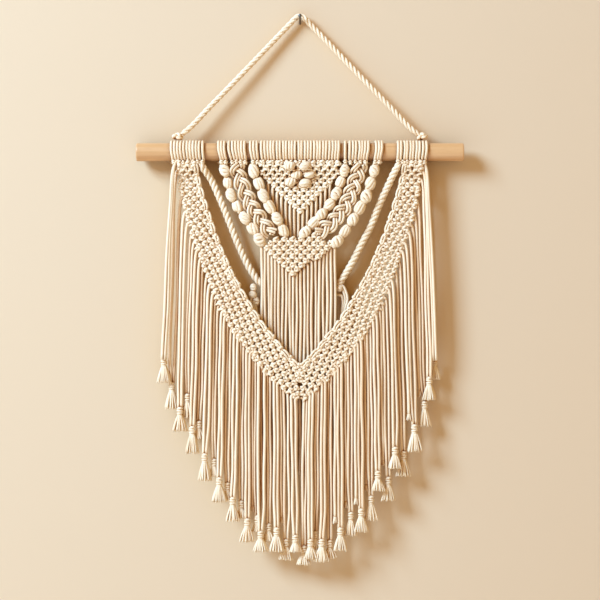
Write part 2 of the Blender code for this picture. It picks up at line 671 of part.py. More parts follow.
def make_long_fringe(collection, cutters, parent, material):
    """Cords from the long V band's lower edge, two into each tassel, and cords between them."""
    for name, side in (("long_fringe_left", -1), ("long_fringe_right", 1)):
        outer = v_edges(side)[1]
        line = strip_path(outer if side < 0 else outer * (-1, 1))
        line = (line if side < 0 else line * (-1, 1))[2:]
        edge = np.column_stack([line[:, 0], v_front(line[:, 1]), line[:, 1]])
        strands = []
        places = []
        for index, tassel in enumerate(TASSELS):
            if tassel.x * side < 0:
                continue
            plane = tassel_plane(index)
            end = tassel.head - HEAD_HEIGHT / 2 - GAP
            front = tassel_front(tassel, plane, edge)
            for step in (-1, 1):
                x = tassel.x + step * PAIR_SPREAD
                strands.append(hang_strand(x, tassel.x + step * 2.0, end, front, plane, edge))
                places.append((x, end, plane))
        places.sort()
        for near, far in zip(places, places[1:]):
            if far[0] - near[0] > FILLER_ROOM:
                x = (near[0] + far[0]) / 2
                end = min(near[1], far[1]) - FILLER_SHORT
                plane = -near[2]
                front = float(v_front(hang_root(x, edge)[1])) + plane * PLANE_SPREAD
                strands.append(hang_strand(x, x, end, front, plane, edge))
        make_fringe(name, edge, strands, collection, cutters, parent, material)


def tassel_mesh(name, tassel):
    """Wrapped head and a skirt of three locks; the origin is the middle of the head's top."""
    bm = bmesh.new()
    angles = math.tau * (np.arange(TASSEL_SIDES) + 0.5) / TASSEL_SIDES
    circle = np.column_stack([np.cos(angles), np.sin(angles)])
    rows = []
    for height, radius in HEAD_RINGS:
        rows.append([bm.verts.new((x * radius * HEAD_RADIUS * MM, y * radius * HEAD_RADIUS * MM,
                                   -height * HEAD_HEIGHT * MM)) for x, y in circle])
    for near, far in zip(rows, rows[1:]):
        for k in range(TASSEL_SIDES):
            after = (k + 1) % TASSEL_SIDES
            bm.faces.new((near[k], near[after], far[after], far[k]))
    bm.faces.new(rows[0])
    neck = rows[-1]
    middle = bm.verts.new((0.0, 0.0, -HEAD_HEIGHT * MM))
    length = tassel.skirt - tassel.head - HEAD_HEIGHT / 2
    narrow = HEAD_RINGS[-1][1] * HEAD_RADIUS
    flare = np.array([tassel.half_width / narrow, SKIRT_HALF_DEPTH / narrow, 0.0])
    for lock in range(3):
        corners = [middle] + [neck[(2 * lock + k) % TASSEL_SIDES] for k in range(3)]
        places = np.array([corner.co for corner in corners])
        centre = places.mean(axis=0)
        root = centre + (places - centre) * (1 - LOCK_INSET)
        tip = places * flare
        outward = tip[1:].mean(axis=0)
        tip[0] = outward * LOCK_REACH
        tip = tip.mean(axis=0) + (tip - tip.mean(axis=0)) * (1 - LOCK_INSET)
        tip[:, 2] = -(HEAD_HEIGHT + length - LOCK_STEP * (lock == 1)) * MM
        top = [bm.verts.new(place) for place in root]
        end = [bm.verts.new(place) for place in tip]
        for k in range(4):
            after = (k + 1) % 4
            bm.faces.new((corners[k], corners[after], top[after], top[k]))
            bm.faces.new((top[k], top[after], end[after], end[k]))
        bm.faces.new(end)
    return finish_mesh(bm, name)


def make_tassels(collection, parent, material):
    """A tassel under each pair of cords, in turn in the front and the back plane."""
    for index, tassel in enumerate(TASSELS):
        side = -1 if tassel.x < 0 else 1
        outer = v_edges(side)[1]
        edge = np.column_stack([outer[:, 0], v_front(outer[:, 1]), outer[:, 1]])
        front = tassel_front(tassel, tassel_plane(index), edge)
        name = "tassel_%02d" % (index + 1)
        place = (tassel.x * MM, -front * MM, -(tassel.head - HEAD_HEIGHT / 2) * MM)
        add_object(name, tassel_mesh(name, tassel), collection, parent, material, place)


def main():
    """Build the whole hanging."""
    clear_scene()
    cotton = make_material("natural_cotton", (0.87, 0.78, 0.62), 0.85)
    beech = make_material("oiled_beech", (0.72, 0.49, 0.28), 0.5)
    steel = make_material("grey_steel", (0.28, 0.27, 0.26), 0.4, 1.0)
    parts = make_collection("macrame_wall_hanging")
    cutters = make_collection("cutters")
    hanging = bpy.data.objects.new("hanging", None)
    hanging.location = (0.0, -DOWEL_DEPTH, -DOWEL_DROP)
    parts.objects.link(hanging)
    make_dowel(parts, hanging, beech)
    make_nail(parts, steel)
    make_headings(parts, hanging, cotton)
    make_ropes(parts, hanging, cotton)
    make_v_arms(parts, hanging, cotton)
    make_nets(parts, hanging, cotton)
    make_chains(parts, hanging, cotton)
    make_braids(parts, cutters, hanging, cotton)
    make_short_fringes(parts, cutters, hanging, cotton)
    make_long_fringe(parts, cutters, hanging, cotton)
    make_tassels(parts, hanging, cotton)


main()
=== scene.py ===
"""Visual model of a macrame wall hanging of natural cotton cord on a wooden dowel.

Tables are in millimetres in the hanging's own frame, whose origin is on the dowel's axis: x to
the right, drop below the axis, and front, which is how far a place stands in front of the axis.
Arrays of points hold (x, front, drop) and become the model's metres when a mesh is written.
"""
from __future__ import annotations

import logging
import math
from collections.abc import Iterable, Sequence
from dataclasses import dataclass, replace
from enum import Enum
from typing import ClassVar, NamedTuple, TypeVar

import bpy
import numpy as np
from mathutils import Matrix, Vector


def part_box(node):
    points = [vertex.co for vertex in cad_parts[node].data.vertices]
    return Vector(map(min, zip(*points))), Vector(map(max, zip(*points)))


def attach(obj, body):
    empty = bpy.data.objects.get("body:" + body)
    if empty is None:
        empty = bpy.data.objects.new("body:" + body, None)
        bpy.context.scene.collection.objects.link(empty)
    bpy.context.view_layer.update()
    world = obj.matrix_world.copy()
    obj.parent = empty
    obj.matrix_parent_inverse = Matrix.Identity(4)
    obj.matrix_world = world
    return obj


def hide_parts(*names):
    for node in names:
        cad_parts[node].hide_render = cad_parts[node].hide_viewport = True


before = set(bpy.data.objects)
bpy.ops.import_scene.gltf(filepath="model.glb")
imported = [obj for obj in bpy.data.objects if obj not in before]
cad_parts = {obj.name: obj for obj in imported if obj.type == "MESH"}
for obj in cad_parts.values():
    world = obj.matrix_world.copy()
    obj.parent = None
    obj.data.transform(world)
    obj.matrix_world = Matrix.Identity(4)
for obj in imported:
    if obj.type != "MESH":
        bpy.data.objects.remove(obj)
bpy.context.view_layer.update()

Array = np.ndarray
Row = TypeVar("Row")
LOG = logging.getLogger("macrame")

MM = 0.001
SEED = 20
# the dowel's axis, below the origin of the frame and in front of the wall
DOWEL_DROP = 160.0
DOWEL_DEPTH = 17.8
DOWEL_RADIUS = 11.0
DOWEL_HALF = 200.0
# outside of the loops round the dowel, from its axis
WRAP_REACH = 14.6
# where the bands start, how far forward each V comes, and the drop at which it is there
PANEL_TOP = 14.9
V_FORWARD = 9.2
V_FORWARD_DROP = 210.0
SECOND_FORWARD = 5.2
SECOND_FORWARD_DROP = 42.0
# how far forward the first rows come out from under the loops, and where they have fallen back
EMERGE = 8.5
EMERGE_TOP = 12.0
EMERGE_FOOT = 34.0
# share of a turn by which each cord's plies are ahead of the last one's
PLY_STEP = 0.37


def rows_of(kind: type[Row], *rows: Sequence[float]) -> tuple[Row, ...]:
    """Return every row of numbers as one of a kind."""
    return tuple(kind(*row) for row in rows)


class Slot(str, Enum):
    """Material slots of the part's record."""

    COTTON = "cotton"
    WOOD = "wood"
    STEEL = "steel"


class Place(NamedTuple):
    """A place in the plane of the hanging."""

    x: float
    drop: float


class Section(NamedTuple):
    """Two facing places on a band's inner and outer edges."""

    inner_x: float
    inner_drop: float
    outer_x: float
    outer_drop: float


class RopePoint(NamedTuple):
    """A place on a rope's middle line."""

    x: float
    drop: float
    front: float


class NetRow(NamedTuple):
    """The upper and lower edges of a knotted panel at one x."""

    x: float
    top: float
    bottom: float


class Group(NamedTuple):
    """Cord loops side by side on the dowel, and how far they lean and draw together below it."""

    start: float
    cords: int
    lean: float
    pull: float


# ---------------------------------------------------------------- curves and surfaces


def ramp(value: Array | float, start: float, end: float) -> Array:
    """Return 0 before start and 1 after end, with a smoothstep between them."""
    share = np.clip((np.asarray(value, float) - start) / (end - start), 0.0, 1.0)
    return share * share * (3 - 2 * share)


def emerge(drop: Array | float) -> Array:
    """Return how far the first rows stand forward, where they come out from under the wraps."""
    return EMERGE * (1 - ramp(drop, EMERGE_TOP, EMERGE_FOOT))


def v_front(drop: Array | float) -> Array:
    """Return how far the long V band stands forward at a drop."""
    return V_FORWARD * ramp(drop, PANEL_TOP, V_FORWARD_DROP) + emerge(drop)


def second_front(drop: Array | float) -> Array:
    """Return how far the second V stands forward at a drop."""
    return SECOND_FORWARD * ramp(drop, PANEL_TOP, SECOND_FORWARD_DROP) + emerge(drop)


def unit(vectors: Array) -> Array:
    """Return vectors scaled to a length of one along the last axis."""
    return vectors / np.maximum(np.linalg.norm(vectors, axis=-1, keepdims=True), 1e-9)


def spline(control: Array, count: int) -> Array:
    """Return points along Catmull-Rom curves through control points, by chord length.

    Each span is a cubic whose end slopes are the chord-weighted means of the chords either side.

    Args:
        control: (curves, points, values) control points.
        count: how many points to return on each curve, evenly spaced in chord length.

    Returns:
        (curves, count, values) points.
    """
    control = np.asarray(control, float)
    chord = np.maximum(np.linalg.norm(np.diff(control[..., :3], axis=1), axis=2), 1e-6)
    knot = np.concatenate([np.zeros((len(control), 1)), np.cumsum(chord, axis=1)], axis=1)
    slope = np.diff(control, axis=1) / chord[..., None]
    inner = (slope[:, 1:] * chord[:, :-1, None] + slope[:, :-1] * chord[:, 1:, None]) / (
        chord[:, 1:] + chord[:, :-1])[..., None]
    slopes = np.concatenate([slope[:, :1], inner, slope[:, -1:]], axis=1)
    at = np.linspace(0.0, 1.0, count)[None, :] * knot[:, -1:]
    span = (at[:, :, None] >= knot[:, None, 1:-1]).sum(axis=2)
    rows = np.arange(len(control))[:, None]
    width = chord[rows, span][..., None]
    share = (at - knot[rows, span])[..., None] / width
    a, b = control[rows, span], control[rows, span + 1]
    ta, tb = slopes[rows, span] * width, slopes[rows, span + 1] * width
    square, cube = share ** 2, share ** 3
    return ((2 * cube - 3 * square + 1) * a + (cube - 2 * square + share) * ta
            + (3 * square - 2 * cube) * b + (cube - square) * tb)


def curve(points: Sequence[Sequence[float]], count: int) -> Array:
    """Return count points on one smooth curve through the given points."""
    return spline(np.asarray(points, float)[None], count)[0]


def quarter(vectors: Array) -> Array:
    """Return (x, drop) vectors turned by a quarter turn in their plane."""
    return np.column_stack([-vectors[:, 1], vectors[:, 0]])


def edge_normal(edge: Array) -> Array:
    """Return the unit normals of an (x, drop) edge, to its right as it is walked."""
    return quarter(unit(np.gradient(edge, axis=0)))


def run_along(line: Array) -> Array:
    """Return the way walked along a line at each of its points."""
    return np.concatenate([[0.0], np.cumsum(np.linalg.norm(np.diff(line, axis=0), axis=1))])


@dataclass
class Surface:
    """Faces with their own UV map and a tone for each point, in millimetres."""

    points: Array
    faces: list[Array]
    uvs: list[Array]
    tones: Array

    @classmethod
    def joined(cls, parts: Iterable[Surface]) -> Surface:
        """Return one surface made of several.

        Args:
            parts: the surfaces, in order.

        Returns:
            One surface with all their faces.
        """
        parts = list(parts)
        starts = np.cumsum([0] + [len(part.points) for part in parts])
        return cls(np.concatenate([part.points for part in parts]),
                   [face + start for part, start in zip(parts, starts) for face in part.faces],
                   [uv for part in parts for uv in part.uvs],
                   np.concatenate([part.tones for part in parts]))

    def mesh(self, name: str) -> bpy.types.Mesh:
        """Write the surface as a mesh in metres, smooth shaded.

        Args:
            name: the mesh's name.

        Returns:
            The mesh, with its UV map "lay" and its attribute "tone".
        """
        mesh = bpy.data.meshes.new(name)
        x, front, drop = self.points.T
        world = np.column_stack([x, -(DOWEL_DEPTH + front), -(DOWEL_DROP + drop)]) * MM
        corners = np.concatenate([face.ravel() for face in self.faces])
        sizes = np.concatenate([np.full(len(face), face.shape[1]) for face in self.faces])
        mesh.vertices.add(len(world))
        mesh.vertices.foreach_set("co", world.ravel())
        mesh.loops.add(len(corners))
        mesh.loops.foreach_set("vertex_index", corners.astype(np.int32))
        mesh.polygons.add(len(sizes))
        starts = np.concatenate([[0], np.cumsum(sizes)[:-1]])
        mesh.polygons.foreach_set("loop_start", starts.astype(np.int32))
        mesh.update(calc_edges=True)
        uv = np.concatenate([part.reshape(-1, 2) for part in self.uvs])
        mesh.uv_layers.new(name="lay").data.foreach_set("uv", uv.ravel())
        tone = mesh.attributes.new("tone", "FLOAT", "POINT")
        tone.data.foreach_set("value", self.tones.astype(np.float32))
        mesh.shade_smooth()
        return mesh


def frames(paths: Array, start: Array, closed: bool) -> tuple[Array, Array, Array]:
    """Return tangents, normals and binormals along curves.

    Open curves carry the start direction along with the least turning (double reflection).
    Closed curves use the direction from their middle, squared to the tangent.

    Args:
        paths: (curves, points, 3) places.
        start: direction of the normal at the first point.
        closed: True for rings.

    Returns:
        Tangents, normals and binormals, each (curves, points, 3).
    """
    if closed:
        along = unit(np.roll(paths, -1, axis=1) - np.roll(paths, 1, axis=1))
        middle = paths - paths.mean(axis=1, keepdims=True)
        normal = unit(middle - (middle * along).sum(-1, keepdims=True) * along)
        return along, normal, np.cross(along, normal)
    along = unit(np.gradient(paths, axis=1))
    normal = np.empty_like(paths)
    first = np.broadcast_to(start, paths[:, 0].shape)
    normal[:, 0] = unit(first - (first * along[:, 0]).sum(-1, keepdims=True) * along[:, 0])
    for k in range(paths.shape[1] - 1):
        step = paths[:, k + 1] - paths[:, k]
        size = np.maximum((step * step).sum(-1, keepdims=True), 1e-12)
        left = normal[:, k] - 2 / size * (step * normal[:, k]).sum(-1, keepdims=True) * step
        turned = along[:, k] - 2 / size * (step * along[:, k]).sum(-1, keepdims=True) * step
        step = along[:, k + 1] - turned
        size = np.maximum((step * step).sum(-1, keepdims=True), 1e-12)
        normal[:, k + 1] = left - 2 / size * (step * left).sum(-1, keepdims=True) * step
    normal = unit(normal)
    return along, normal, np.cross(along, normal)


def sweep(paths: Array, radius: Array | float, sides: int, *, lay: float = 9.0,
          closed: bool = False, start: Sequence[float] = (0.0, 1.0, 0.0),
          tones: Array | float = 0.0) -> Surface:
    """Sweep round profiles along many curves at once.

    Every point is the curve's point plus the radius times the cosine of the profile's angle
    along the normal and its sine along the binormal. Open ends are closed by a fan of faces.

    Args:
        paths: (curves, points, 3) places in millimetres.
        radius: profile radius, broadcast to (curves, points).
        sides: corners of the profile.
        lay: length in which the cord's plies turn once, which sets the UV map's scale.
        closed: True for rings.
        start: direction of the normal at the first point.
        tones: a number for each curve by which its colour differs.

    Returns:
        The closed tubes as one surface.
    """
    paths = np.asarray(paths, float)
    count, rings = paths.shape[:2]
    along, normal, binormal = frames(paths, np.asarray(start, float), closed)
    radius = np.broadcast_to(np.asarray(radius, float), (count, rings))[..., None, None]
    angle = math.tau * np.arange(sides) / sides
    ring = (np.cos(angle)[:, None] * normal[:, :, None]
            + np.sin(angle)[:, None] * binormal[:, :, None])
    points = (paths[:, :, None] + radius * ring).reshape(-1, 3)
    spans = rings if closed else rings - 1
    curve_at, ring_at, side_at = np.meshgrid(np.arange(count), np.arange(spans), np.arange(sides),
                                             indexing="ij")
    base = curve_at * rings
    here, after = (base + ring_at) * sides, (base + (ring_at + 1) % rings) * sides
    beside = (side_at + 1) % sides
    quads = np.stack([here + side_at, here + beside, after + beside, after + side_at], axis=-1)
    step = np.linalg.norm(np.roll(paths, -1, axis=1) - paths, axis=2)[:, :spans]
    run = np.concatenate([np.zeros((count, 1)), np.cumsum(step, axis=1)], axis=1) / lay
    turn = np.arange(count)[:, None, None] * PLY_STEP
    u0, u1 = side_at / sides + turn, (side_at + 1) / sides + turn
    v0, v1 = run[curve_at, ring_at], run[curve_at, ring_at + 1]
    uv = np.stack([np.stack([u0, v0], -1), np.stack([u1, v0], -1),
                   np.stack([u1, v1], -1), np.stack([u0, v1], -1)], axis=-2)
    tone = np.broadcast_to(np.asarray(tones, float), (count,))
    side_tones = np.repeat(tone, rings * sides)
    faces, uvs = [quads.reshape(-1, 4)], [uv.reshape(-1, 4, 2)]
    if closed:
        return Surface(points, faces, uvs, side_tones)
    ends = paths[:, [0, -1]].reshape(-1, 3)
    first = len(points) + 2 * np.arange(count)[:, None]
    side = np.arange(sides)[None]
    start_ring = np.arange(count)[:, None] * rings * sides
    end_ring = start_ring + (rings - 1) * sides
    other = (side + 1) % sides
    near = np.stack(np.broadcast_arrays(first, start_ring + other, start_ring + side), -1)
    far = np.stack(np.broadcast_arrays(first + 1, end_ring + side, end_ring + other), -1)
    fans = np.concatenate([near.reshape(-1, 3), far.reshape(-1, 3)])
    return Surface(np.concatenate([points, ends]), faces + [fans],
                   uvs + [np.zeros((len(fans), 3, 2))],
                   np.concatenate([side_tones, np.repeat(tone, 2)]))


def lathe(profile: Sequence[Sequence[float]], centre: Sequence[float], axis: Sequence[float],
          sides: int) -> Surface:
    """Turn a profile of (distance along the axis, radius) pairs round an axis.

    Args:
        profile: (distance, radius) pairs.
        centre: the axis's start, as (x, front, drop).
        axis: the axis's direction.
        sides: corners round the axis.

    Returns:
        The closed turned surface.
    """
    rows = np.asarray(profile, float)
    path = np.asarray(centre, float) + rows[:, :1] * unit(np.asarray(axis, float))
    return sweep(path[None], rows[None, :, 1], sides, start=(0.3, 0.2, 1.0), lay=40.0)


# ---------------------------------------------------------------- materials


def linear(code: str) -> tuple[float, float, float, float]:
    """Return the linear colour of an sRGB hex code."""
    parts = [int(code[k:k + 2], 16) / 255 for k in (1, 3, 5)]
    return (*[p / 12.92 if p <= 0.04045 else ((p + 0.055) / 1.055) ** 2.4 for p in parts], 1.0)


class Shader:
    """A material's node tree, built a node at a time."""

    def __init__(self, name: str) -> None:
        """Start an empty material.

        Args:
            name: the material's name.
        """
        self.material = bpy.data.materials.new(name)
        self.material.use_nodes = True
        self.tree = self.material.node_tree
        self.tree.nodes.clear()

    def add(self, kind: str, inputs: dict[str | int, object] | None = None,
            **settings: object) -> bpy.types.Node:
        """Add a node with its settings; an input is a value or another node's socket.

        Args:
            kind: the node's type.
            inputs: values or sockets, by the name or number of the input.
            settings: the node's own settings.

        Returns:
            The node.
        """
        node = self.tree.nodes.new(kind)
        for key, value in settings.items():
            setattr(node, key, value)
        for key, value in (inputs or {}).items():
            if isinstance(value, bpy.types.NodeSocket):
                self.tree.links.new(value, node.inputs[key])
            else:
                node.inputs[key].default_value = value
        return node

    def math(self, operation: str, *values: object) -> bpy.types.NodeSocket:
        """Return the result of a math node."""
        node = self.add("ShaderNodeMath", dict(enumerate(values)), operation=operation)
        return node.outputs[0]

    def mix(self, factor: object, first: object, second: object) -> bpy.types.NodeSocket:
        """Return a mix of two colours."""
        node = self.add("ShaderNodeMix", {0: factor, 6: first, 7: second}, data_type="RGBA")
        return node.outputs[2]

    def noise(self, scale: float, detail: float, coords: object) -> bpy.types.NodeSocket:
        """Return the value of a noise texture."""
        node = self.add("ShaderNodeTexNoise", {"Vector": coords, "Scale": scale, "Detail": detail})
        return node.outputs["Fac"]

    def span(self, value: object, low: float, high: float) -> bpy.types.NodeSocket:
        """Return 0 up to low, 1 from high on, and an even rise between them."""
        node = self.add("ShaderNodeMapRange", {"Value": value, "From Min": low, "From Max": high})
        return node.outputs[0]

    def open_sky(self, reach: float) -> bpy.types.NodeSocket:
        """Return how open the surface is, 1 with nothing near it within a reach in metres."""
        node = self.add("ShaderNodeAmbientOcclusion", {"Distance": reach}, samples=6)
        return node.outputs["AO"]

    def finish(self, shader: bpy.types.Node) -> bpy.types.Material:
        """Connect a shader to the output and return the material."""
        self.add("ShaderNodeOutputMaterial", {"Surface": shader.outputs[0]})
        return self.material


@dataclass(frozen=True)
class CottonFinish:
    """Unbleached cotton cord: soft, fuzzy plies with painted shade in their grooves and between
    cords.
    """

    name: str
    light: str = "#FFEECD"
    body: str = "#F8DAB3"
    # the groove colour is painted shade between the plies; the two after it are painted shade where
    # cords lie close
    groove: str = "#DEB786"
    painted_shade: str = "#DFA769"
    darkest_painted_shade: str = "#8A4204"
    plies: int = 3
    relief: float = 0.00010
    fuzz: float = 0.00010
    # noise cells in a metre
    fibre_scale: float = 3600.0
    yarn_scale: float = 90.0
    # how far neighbours count, in metres, and how open a surface is where the darkest painted
    # shade, the lighter painted shade and the unshaded colour are whole
    reach: float = 0.008
    depth: tuple[float, float, float] = (0.14, 0.42, 0.64)

    def build(self) -> bpy.types.Material:
        """Make the material.

        The plies are the absolute sine of the angle round the cord plus the turns along it,
        times the number of plies, so their grooves run round the cord like its twist; the grooves
        get painted shade. Two browner tints of painted shade come in where the surface is less and
        less open, as the three depths say.

        Returns:
            The material.
        """
        s = Shader(self.name)
        place = s.add("ShaderNodeTexCoord").outputs["Object"]
        lay = s.add("ShaderNodeUVMap", uv_map="lay").outputs[0]
        parts = s.add("ShaderNodeSeparateXYZ", {0: lay})
        turns = s.math("ADD", parts.outputs[0], parts.outputs[1])
        wave = s.math("SINE", s.math("MULTIPLY", turns, math.pi * self.plies))
        crown = s.math("POWER", s.math("ABSOLUTE", wave), 0.6)
        # fine fibres a quarter of a millimetre across, and slow unevenness of the yarn
        fibre = s.noise(self.fibre_scale, 2.0, place)
        slow = s.noise(self.yarn_scale, 2.0, place)
        tone = s.add("ShaderNodeAttribute", attribute_name="tone").outputs["Fac"]
        # painted shade: the grooves between the plies take the groove colour, mixed with the
        # fibres' real unevenness
        shade = s.math("ADD", s.math("MULTIPLY", crown, 0.75), s.math("MULTIPLY", fibre, 0.35))
        yarn = s.mix(s.math("MINIMUM", shade, 1.0), linear(self.groove), linear(self.body))
        bright = s.math("ADD", s.math("MULTIPLY", slow, 0.7), tone)
        colour = s.mix(s.math("MAXIMUM", s.math("MINIMUM", bright, 1.0), 0.0), yarn,
                       linear(self.light))
        # painted shade: ambient occlusion turns the colour browner where cords lie close together
        sky = s.open_sky(self.reach)
        low, middle, high = self.depth
        colour = s.mix(s.span(sky, middle, high), linear(self.painted_shade), colour)
        colour = s.mix(s.span(sky, low, middle), linear(self.darkest_painted_shade), colour)
        height = s.math("ADD", s.math("MULTIPLY", crown, self.relief),
                        s.math("MULTIPLY", fibre, self.fuzz))
        bump = s.add("ShaderNodeBump", {"Height": height, "Distance": 1.0, "Strength": 0.9})
        shader = s.add("ShaderNodeBsdfPrincipled", {
            "Base Color": colour, "Roughness": 0.92, "Normal": bump.outputs[0],
            "Sheen Weight": 0.12, "Sheen Roughness": 0.5, "Sheen Tint": linear(self.light),
            "Specular IOR Level": 0.15})
        return s.finish(shader)


@dataclass(frozen=True)
class WoodFinish:
    """Pale oiled beech: fine grain that runs along the rod, with small darker flecks, and painted
    shade underneath.
    """

    name: str
    light: str = "#E2AF77"
    body: str = "#D29A60"
    fleck: str = "#B37A44"
    # painted shade for the side turned to the wall
    shade: str = "#804C20"
    flecked: float = 0.35
    # the noise's scale along the rod, as a share of that across it
    along: float = 0.035
    reach: float = 0.03

    def build(self) -> bpy.types.Material:
        """Make the material; the grain is noise drawn out along the rod, and painted shade darkens
        the side turned to the wall.

        Returns:
            The material.
        """
        s = Shader(self.name)
        place = s.add("ShaderNodeTexCoord").outputs["Object"]
        along = s.add("ShaderNodeMapping", {"Vector": place, "Scale": (self.along, 1.0, 1.0)})
        broad = s.noise(160.0, 4.0, along.outputs[0])
        fine = s.noise(900.0, 3.0, along.outputs[0])
        colour = s.mix(s.span(broad, 0.35, 0.68), linear(self.light), linear(self.body))
        flecks = s.math("MULTIPLY", s.span(fine, 0.56, 0.72), self.flecked)
        colour = s.mix(flecks, colour, linear(self.fleck))
        # painted shade: the side turned to the wall and the wood beside the loops are darkened to a
        # brown by ambient occlusion
        depth = s.span(s.open_sky(self.reach), 0.44, 0.96)
        colour = s.mix(depth, linear(self.shade), colour)
        bump = s.add("ShaderNodeBump", {"Height": fine, "Distance": 0.00012, "Strength": 0.5})
        shader = s.add("ShaderNodeBsdfPrincipled", {
            "Base Color": colour, "Roughness": 0.46, "Normal": bump.outputs[0],
            "Specular IOR Level": 0.7})
        return s.finish(shader)


@dataclass(frozen=True)
class SteelFinish:
    """Dull grey wire nail: bare drawn steel, scuffed on its head."""

    name: str
    dull: str = "#5C5750"
    bright: str = "#8D8880"

    def build(self) -> bpy.types.Material:
        """Make the material; scuffs vary its colour and its roughness.

        Returns:
            The material.
        """
        s = Shader(self.name)
        place = s.add("ShaderNodeTexCoord").outputs["Object"]
        scuff = s.noise(1500.0, 3.0, place)
        colour = s.mix(scuff, linear(self.dull), linear(self.bright))
        rough = s.add("ShaderNodeMapRange", {"Value": scuff, "To Min": 0.32, "To Max": 0.55})
        shader = s.add("ShaderNodeBsdfPrincipled", {
            "Base Color": colour, "Roughness": rough.outputs[0], "Metallic": 1.0})
        return s.finish(shader)


@dataclass(frozen=True)
class PlasterFinish:
    """Smooth painted wall or floor of the stage, with painted bounce light and shadow near the
    hanging; a one-sided one is clear from behind.
    """

    name: str
    colour: str
    cloud: str = "#D9C4A6"
    # painted bounce light from the cotton nearby, and painted shadow right behind it
    near: str = "#E6C089"
    behind: str = "#8F5B22"
    near_reach: float = 0.11
    contact_reach: float = 0.035
    one_sided: bool = False

    def build(self) -> bpy.types.Material:
        """Make the material, with a very faint unevenness of the paint, painted warm bounce light
        near the cotton and painted shadow right behind it.

        Returns:
            The material.
        """
        s = Shader(self.name)
        place = s.add("ShaderNodeTexCoord").outputs["Object"]
        cloud = s.noise(6.0, 3.0, place)
        colour = s.mix(s.math("MULTIPLY", cloud, 0.12), linear(self.colour), linear(self.cloud))
        # painted light and shade: by ambient occlusion the colour turns warm where the cotton is
        # near, as bounce light, and dark brown right behind it, as shadow
        hidden = s.span(s.open_sky(self.contact_reach), 0.10, 0.62)
        near = s.mix(hidden, linear(self.behind), linear(self.near))
        colour = s.mix(s.open_sky(self.near_reach), near, colour)
        shader = s.add("ShaderNodeBsdfPrincipled", {
            "Base Color": colour, "Roughness": 0.9, "Specular IOR Level": 0.1})
        if not self.one_sided:
            return s.finish(shader)
        back = s.add("ShaderNodeNewGeometry").outputs["Backfacing"]
        clear = s.add("ShaderNodeBsdfTransparent")
        return s.finish(s.add("ShaderNodeMixShader",
                              {0: back, 1: shader.outputs[0], 2: clear.outputs[0]}))


@dataclass(frozen=True)
class Finishes:
    """The materials of the model."""

    cotton: bpy.types.Material
    hanging: bpy.types.Material
    rope: bpy.types.Material
    combed: bpy.types.Material
    wood: bpy.types.Material
    steel: bpy.types.Material


def publish(surface: Surface, name: str, material: bpy.types.Material,
            nodes: Sequence[str]) -> None:
    """Add a piece to the scene, standing for its CAD nodes.

    Args:
        surface: its faces.
        name: its name.
        material: its material.
        nodes: the CAD nodes that it replaces.
    """
    mesh = surface.mesh(name)
    mesh.materials.append(material)
    piece = bpy.data.objects.new(name, mesh)
    bpy.context.scene.collection.objects.link(piece)
    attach(piece, "root")
    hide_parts(*nodes)
    triangles = sum(len(face) * (face.shape[1] - 2) for face in surface.faces)
    LOG.info("%s: %d triangles, stands for %s", name, triangles, ", ".join(nodes))


def publish_cotton(surface: Surface, node: str, work: str, material: bpy.types.Material) -> None:
    """Add a cotton piece that stands for one node, named after it and the kind of work."""
    publish(surface, node + "_" + work, material, [node])


# ---------------------------------------------------------------- knots


def set_out(centres: Array, across: Array, down: Array, front: Array, a: Array, b: Array,
            c: Array) -> Array:
    """Return points that lie some way from centres in the plane of the hanging.

    Args:
        centres: (knots, 2) places.
        across: (knots, 2) unit vectors across.
        down: (knots, 2) unit vectors down.
        front: (knots,) how far forward each centre stands.
        a: (knots, points) how far each point lies across.
        b: (knots, points) how far it lies down.
        c: (knots, points) how far it lies forward.

    Returns:
        (knots, points, 3) points.
    """
    flat = centres[:, None] + a[..., None] * across[:, None] + b[..., None] * down[:, None]
    return np.stack([flat[..., 0], front[:, None] + c, flat[..., 1]], axis=-1)


